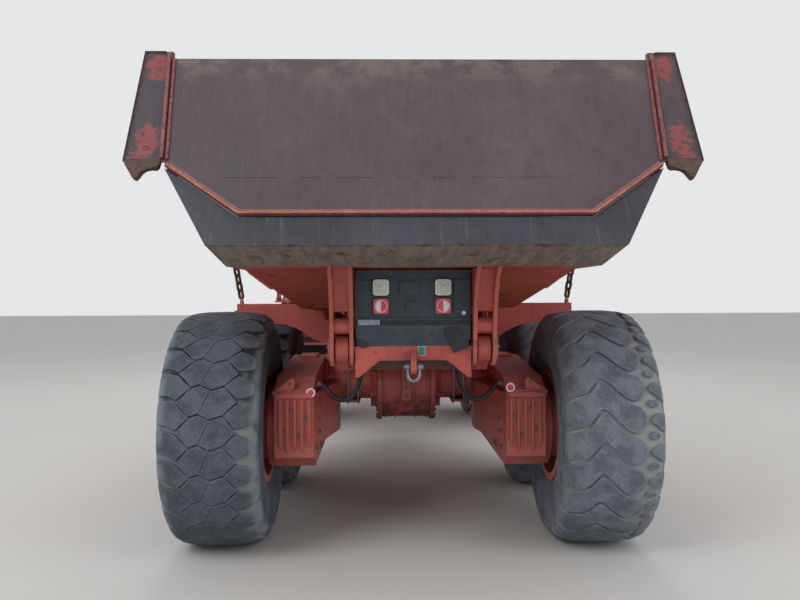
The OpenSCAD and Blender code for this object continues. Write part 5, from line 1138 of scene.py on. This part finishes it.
radiatorCore = [boxSolid((-0.50, 4.575, 1.32), (0.50, 4.60, 1.79)), boxSolid((-0.29, 4.575, 1.07), (0.29, 4.60, 1.325)),
    boxSolid((-0.52, 4.565, 1.775), (0.52, 4.625, 1.81)), boxSolid((-0.52, 4.565, 1.31), (0.52, 4.625, 1.335))]
for left, low, high, count in ((-0.495, 1.34, 1.77, screenSettings["fins"]),
        (-0.285, 1.075, 1.305, screenSettings["lowFins"])):
    for k in range(count):
        finX = left + screenSettings["finStep"] * k
        radiatorCore.append(boxSolid((finX, 4.598, low), (finX + 0.012, 4.606, high)))
dressPiece("radiator_core", radiatorCore, blackEnamel, "front_unit", 0)
bumperParts = [boxSolid((-0.88, 4.949, 1.405), (0.88, 4.955, 1.425)),
    boxSolid((-0.26, 4.949, 1.26), (0.26, 4.955, 1.385))]
bumperParts += mirrored([boxSolid((0.50, 4.949, 0.90), (0.80, 4.955, 1.18)),
    boxSolid((1.02, 4.84, 1.438), (1.22, 4.875, 1.452))])
dressPiece("bumper_plates", bumperParts, fadedOrangeEnamel, "front_unit", 2)
boltHeads("bumper_bolts", bothSides([((x, 4.9500, z), (0, 1, 0))
    for x, z in ((0.40, 1.12), (0.40, 0.95), (0.86, 1.05), (0.30, 1.35), (0.30, 1.10))]), greyFasteners, "front_unit",
    0.014, 0.006)
lenses, bezels, lampPods = [], [], []
for x in (-0.78, -0.60, 0.60, 0.78):
    lampPods.append(boxSolid((x - 0.0745, 4.9205, 1.2605), (x + 0.0745, 4.9345, 1.3795)))
    bezels += [turnedSolid((x, 4.936, 1.32), (0, 1, 0),
        [(0, 0.060), (0.008, 0.060), (0.011, 0.056), (0.010, 0.050), (0, 0.050)], 36, True)] + frameBars("y", 4.9375,
        x - 0.068, x + 0.068, 1.267, 1.373, 0.006, 0.006)
    lenses.append(turnedSolid((x, 4.934, 1.32), (0, 1, 0),
        [(0, 0.0505), (0.006, 0.049), (0.0115, 0.035), (0.014, 0.016), (0.0145, 0.0)], 36))
dressPiece("front_lamp_pods", lampPods, paleReflector, "front_unit", 1)
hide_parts("front_lamps")
dressPiece("front_lamp_bezels", bezels, blackEnamel, "front_unit", 0)
dressPiece("front_lamp_lenses", lenses, whiteLens, "front_unit", 0)

# Fenders: rubber lips and flaps, tread plate on the deck, clamps on the rails
fenderSettings = {"wheelY": 2.5, "wheelZ": 0.8, "lipIn": 0.893, "lipOut": 0.916, "fromDegrees": 22.5,
    "sweepDegrees": 135, "steps": 40, "treadRows": 20}
fender, lipRings = fenderSettings, []
for k in range(fender["steps"] + 1):
    turn = math.radians(fender["fromDegrees"] + fender["sweepDegrees"] * k / fender["steps"])
    lipRings.append([(x, fender["wheelY"] + fender[edge] * math.cos(turn),
        fender["wheelZ"] + fender[edge] * math.sin(turn))
        for x, edge in ((1.556, "lipIn"), (1.556, "lipOut"), (1.5785, "lipOut"), (1.5785, "lipIn"))])
mudFlap = sidePlate([(1.615, 1.16), (1.629, 1.16), (1.602, 0.80), (1.572, 0.52), (1.560, 0.52), (1.588, 0.80)], 0.96,
    1.54)
dressPiece("fender_rubber", mirrored([ringSolid(lipRings), mudFlap]), wornEdgeRubber, "front_unit", 2)
treadPlate = []
for row in range(fender["treadRows"]):
    for column in range(fender["treadRows"]):
        x, y = 0.83 + 0.036 * column, 1.36 + 0.040 * row
        turn = math.radians(45 if (row + column) % 2 else -45)
        cosine, sine = math.cos(turn), math.sin(turn)
        lug = [(x + cosine * a - sine * b, y + sine * a + cosine * b, 1.6395)
            for a, b in ((-0.014, 0), (0, -0.004), (0.014, 0), (0, 0.004))]
        treadPlate.append(prismSolid(lug, (0, 0, 0.0045)))
dressPiece("deck_tread", mirrored(treadPlate), fadedOrangeEnamel, "front_unit", 0)
stepSettings = {"heights": (0.566, 0.826, 1.096, 1.366), "ribs": 18, "ribStep": 0.03}
stepGrip = []
for z in stepSettings["heights"]:
    for ribX in (0.875 + stepSettings["ribStep"] * k for k in range(stepSettings["ribs"])):
        stepGrip.append(boxSolid((ribX, 1.345, z - 0.001), (ribX + 0.010, 1.515, z + 0.006)))
dressPiece("step_grips", mirrored(stepGrip), fadedOrangeEnamel, "front_unit", 0)
railClamps = [turnedSolid((1.532, y, z), (0, 0, 1), [(-0.02, 0.021), (-0.018, 0.024), (0.018, 0.024), (0.02, 0.021)],
    20) for y in (1.36, 1.5545) for z in (1.66, 2.12, 2.54)]
dressPiece("handrail_clamps", mirrored(railClamps), greyFasteners, "front_unit", 0)

# Mirrors, exhaust, tanks
glassPanes = mirrored([boxSolid((1.295, 2.9575, 2.415), (1.475, 2.9605, 2.805))])
dressPiece("mirror_glass", glassPanes, chromeRod, "front_unit", 1)
mirrorTrim = mirrored([boxSolid((1.287, 3.009, 2.43), (1.483, 3.022, 2.79)),
    turnedSolid((1.38, 3.0, 2.36), (0, 0, 1), [(0, 0.022), (0.03, 0.022)], 16),
    turnedSolid((1.38, 3.0, 2.835), (0, 0, 1), [(0, 0.022), (0.022, 0.022)], 16),
    turnedSolid((0.781, 3.0, 2.70), (1, 0, 0), [(0, 0.035), (0.012, 0.035), (0.02, 0.022), (0.06, 0.020)], 20)])
dressPiece("mirror_fittings", mirrorTrim, blackPanelPlastic, "front_unit", 3)
exhaustSettings = {"x": 0.86, "y": 3.28, "low": 1.62, "height": 0.83, "slats": 16}
pipeX, pipeY, shield = exhaustSettings["x"], exhaustSettings["y"], []
for k in range(exhaustSettings["slats"]):
    turn = 2 * math.pi * k / exhaustSettings["slats"]
    cosine, sine = math.cos(turn), math.sin(turn)
    slat = [(pipeX + cosine * far - sine * a, pipeY + sine * far + cosine * a, exhaustSettings["low"])
        for far, a in ((0.088, -0.011), (0.088, 0.011), (0.092, 0.011), (0.092, -0.011))]
    shield.append(prismSolid(slat, (0, 0, exhaustSettings["height"])))
for z, inner, outer, sides in ((1.64, 0.076, 0.094, 40), (2.04, 0.076, 0.094, 40), (2.43, 0.076, 0.094, 40),
        (2.515, 0.047, 0.056, 32), (2.95, 0.047, 0.056, 32)):
    shield.append(turnedSolid((pipeX, pipeY, z), (0, 0, 1),
        [(-0.012, inner), (-0.012, outer), (0.012, outer), (0.012, inner)], sides, True))
dressPiece("exhaust_shield", shield, greyCasting, "front_unit", 0)
tankSettings = {"strapY": (1.66, 2.04), "strapHalf": 0.02}
tankParts = []
for y in tankSettings["strapY"]:
    ring = [(0.44, 0.802), (0.497, 0.802), (0.722, 0.802), (0.788, 0.868), (0.788, 1.090), (0.742, 1.118),
        (0.44, 1.118), (0.44, 1.108), (0.738, 1.108), (0.778, 1.083), (0.778, 0.872), (0.718, 0.812), (0.497, 0.812),
        (0.44, 0.812)]
    strap = [(x, y - tankSettings["strapHalf"], z) for x, z in ring]
    tankParts.append(prismSolid(strap, (0, 2 * tankSettings["strapHalf"], 0)))
tankParts += [turnedSolid((0.64, 1.85, 1.108), (0, 0, 1),
    [(0, 0.055), (0.02, 0.055), (0.024, 0.048), (0.03, 0.048), (0.045, 0.046), (0.05, 0.038)], 28),
    boxSolid((0.779, 1.80, 0.90), (0.788, 1.82, 1.06))]
dressPiece("tank_straps", mirrored(tankParts), blackEnamel, "front_unit", 2)
print("front done")

# Hitch, cylinders and body
hitchSettings = {"ringZ": 1.12, "pinY": 0.9}
ringZ, hitchY = hitchSettings["ringZ"], hitchSettings["pinY"]
boltHeads("ring_bolts", boltCircle((0, 1.0795, ringZ), (0, -1, 0), 0.262, 20), greyFasteners, "hitch", 0.013, 0.011)
boltHeads("turning_plate_bolts", boltCircle((0, 1.3405, ringZ), (0, 1, 0), 0.25, 20), greyFasteners, "front_unit",
    0.015, 0.012)
pinCaps = [turnedSolid((0, hitchY, z), (0, 0, way),
    [(0, 0.10), (0.01, 0.10), (0.014, 0.094), (0.014, 0.03), (0.02, 0.012), (0.03, 0.010)], 32)
    for z, way in ((1.4805, 1), (0.7595, -1))]
dressPiece("hitch_pin_caps", pinCaps, fadedOrangeEnamel, "rear_unit", 1)
boltHeads("hitch_cap_bolts", boltCircle((0, hitchY, 1.4945), (0, 0, 1), 0.078, 8), greyFasteners, "rear_unit", 0.009,
    0.008)
hoistSettings = {"x": 0.56, "foot": (-0.15, 0.95), "head": (-2.35, 1.50), "clamps": (0.14, 1.10, 2.04),
    "pipeOut": 0.105}
for side, sign in (("left", -1), ("right", 1)):
    base, far = (Vector((sign * hoistSettings["x"], *hoistSettings[end])) for end in ("foot", "head"))
    along = (far - base).normalized()
    up = Vector((1, 0, 0)).cross(along)
    up *= 1 if up.z > 0 else -1
    hoistParts = [turnedSolid(base + along * d, along, [(-0.02, 0.081), (-0.02, 0.092), (0.02, 0.092), (0.02, 0.081)],
        36, True) for d in hoistSettings["clamps"]]
    feedPipe = [base + along * d + up * out for d, out in ((0.22, 0.075), (0.24, hoistSettings["pipeOut"]),
        (1.98, hoistSettings["pipeOut"]), (2.0, 0.075))]
    dressPiece(f"hoist_fittings_{side}", hoistParts + [pipeSolid(feedPipe, 0.013, 10)], fadedOrangeEnamel,
        f"hoist_barrel_{side}", 0)
bodyParts = mirrored([pipeSolid([(1.4375, -4.20, 3.096), (1.4375, -0.46, 3.096)], 0.026, 14),
    boxSolid((1.395, -3.40, 2.66), (1.432, -0.35, 2.70))])
bodyParts += [sidePlate([(-0.08, 3.285), (0.34, 3.285), (0.345, 3.31), (-0.08, 3.31)], x - 0.03, x + 0.03)
    for x in (-1.1, -0.55, 0.0, 0.55, 1.1)]
dressPiece("body_stiffeners", bodyParts, fadedOrangeEnamel, "dump_body", 3)
frameParts = mirrored([pipeSolid([(0.438, -3.95, z), (0.438, -3.20, z), (0.438, y, z + 0.04), (0.438, -0.40, z + 0.04)],
    0.011, 8) for z, y in ((1.40, -2.90), (1.37, -2.86))])
dressPiece("frame_pipes", frameParts, greyFasteners, "rear_unit", 0)
boltHeads("frame_bolts", bothSides([((0.4305, y, z), (1, 0, 0)) for y in (-2.64, -2.54, -2.44) for z in (1.29, 1.34)]
    + [((0.4305, y, 1.30), (1, 0, 0)) for y in (-3.5, -1.9, -1.0)]), greyFasteners, "rear_unit", 0.014, 0.012)
print("body done")

# Brake hoses: the same routes as in the CAD, on a smooth curve
hoseSettings = {"radius": 0.016, "steps": 6, "route": ((0.330, -3.555, 1.2497), (0.330, -3.555, 1.1997),
    (0.3455, -3.575, 1.110), (0.3858, -3.600, 1.035), (0.4447, -3.615, 1.005), (0.516, -3.610, 1.030),
    (0.5594, -3.595, 1.075), (0.5997, -3.575, 1.110), (0.6397, -3.575, 1.110))}


def smoothLine(points, steps):
    line, ends = [], [points[0]] + list(points) + [points[-1]]
    for a, b, c, d in zip(ends, ends[1:], ends[2:], ends[3:]):
        a, b, c, d = Vector(a), Vector(b), Vector(c), Vector(d)
        for k in range(steps):
            u = k / steps
            bend = (2 * a - 5 * b + 4 * c - d) * u ** 2 + (3 * b - a - 3 * c + d) * u ** 3
            line.append(0.5 * (2 * b + (c - a) * u + bend))
    return line + [Vector(points[-1])]


for side, sign in (("left", -1), ("right", 1)):
    line = [Vector((sign * p.x, p.y, p.z)) for p in smoothLine(hoseSettings["route"], hoseSettings["steps"])]
    hose = dressPiece(f"brake_hose_{side}", [pipeSolid(line, hoseSettings["radius"], 16, 0)], hoseRubber, "rear_unit",
        0)
    hoseEnds = []
    for end, axis, far in ((line[0], (0, 0, -1), 0.030), (line[-1], (-sign, 0, 0), 0.034)):
        hoseEnds.append(turnedSolid(end, axis, [(0.0, 0.0185), (far, 0.0185), (far + 0.003, 0.0172)], 20, True))
        hoseEnds.append(turnedSolid(end, axis, [(0, 0.023), (0.012, 0.023)], 6))
    ferrules = dressPiece(f"brake_hose_ends_{side}", hoseEnds, greyFasteners, "rear_unit", 0)
    if sign < 0:
        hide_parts("brake_hoses")

# Bow shackle of drop-forged steel on its cross pin
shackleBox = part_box("tow_shackle")
pinY, pinZ = (shackleBox[0][1] + shackleBox[1][1]) / 2, shackleBox[1][2] - 0.028
shackleHalf = 0.0335
bowPoints = [(shackleHalf * math.cos(math.radians(a)), pinZ - 0.052 + shackleHalf * math.sin(math.radians(a)) * 0.94)
    for a in range(180, 361, 15)]
route = [(-shackleHalf, pinY, pinZ)] + [(x, pinY, z) for x, z in bowPoints] + [(shackleHalf, pinY, pinZ)]
shackleParts = [pipeSolid(route, 0.0105, 14, 0.01),
    turnedSolid((-0.057, pinY, pinZ), (1, 0, 0), [(0, 0.013), (0.008, 0.015), (0.010, 0.0098), (0.104, 0.0098),
    (0.104, 0.0145), (0.114, 0.0145)], 18)]
shackleParts += mirrored([turnedSolid((0.0225, pinY, pinZ), (1, 0, 0),
    [(0, 0.021), (0.003, 0.0225), (0.019, 0.0225), (0.022, 0.021)], 24)])
dressPiece("tow_bow_shackle", shackleParts, zincSteel, "rear_unit", 0)
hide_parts("tow_shackle")
print("hoses and shackle done")

# Camera
cameraData = bpy.data.cameras.new("camera")
cameraData.sensor_width = cameraSettings["sensorMm"]
cameraData.lens = cameraSettings["lensMm"]
camera = bpy.data.objects.new("camera", cameraData)
bpy.context.scene.collection.objects.link(camera)
yaw, pitch, roll = -cameraSettings["yawRight"], math.pi / 2 + cameraSettings["pitch"], cameraSettings["roll"]
camera.matrix_world = (Matrix.Translation(cameraSettings["place"]) @ Matrix.Rotation(yaw, 4, "Z")
    @ Matrix.Rotation(pitch, 4, "X") @ Matrix.Rotation(roll, 4, "Z"))
bpy.context.scene.camera = camera

# Floor and soft light
floorMaterial, floorTree, floorShader, floorCoords = newMaterial("paleConcrete")
floorColor = wire(floorTree, "mixColor", wire(floorTree, "noise", floorCoords, 0.6, 6.0), "#c6c5c2", "#cdccca")
feed(floorTree, floorShader, {"Base Color": floorColor, "Roughness": 0.9})
floorHalf = 60
floorCorners = [(x * floorHalf, y * floorHalf, 0) for x, y in ((-1, -1), (1, -1), (1, 1), (-1, 1))]
floor = newPiece("floor", floorCorners, [(0, 1, 2, 3)], floorMaterial, None)

world = bpy.data.worlds.new("studio")
bpy.context.scene.world = world
world.use_nodes = True
worldTree = world.node_tree
worldTree.nodes.clear()
rayKinds = add(worldTree, "ShaderNodeLightPath")
seenDirectly = wire(worldTree, "ADD", rayKinds.outputs["Is Camera Ray"],
    wire(worldTree, "ADD", rayKinds.outputs["Is Glossy Ray"], rayKinds.outputs["Is Transmission Ray"]))
backdropLight = add(worldTree, "ShaderNodeBackground", {"Color": lightSettings["backdrop"], "Strength": 1.0})
skyLight = add(worldTree, "ShaderNodeBackground", {"Color": "#ffffff", "Strength": lightSettings["skyStrength"]})
blend = add(worldTree, "ShaderNodeMixShader", {0: seenDirectly, 1: skyLight.outputs[0], 2: backdropLight.outputs[0]})
add(worldTree, "ShaderNodeOutputWorld", {0: blend.outputs[0]})


def softbox(name, place, target, size, power):
    data = bpy.data.lights.new(name, "AREA")
    data.energy, data.size = power, size
    softLight = bpy.data.objects.new(name, data)
    bpy.context.scene.collection.objects.link(softLight)
    direction = Vector(target) - Vector(place)
    softLight.matrix_world = Matrix.Translation(place) @ direction.to_track_quat("-Z", "Y").to_matrix().to_4x4()


for name, box in lightSettings["boxes"].items():
    softbox(name, *box)
bpy.context.scene.view_settings.view_transform = "Standard"
print("stage done")
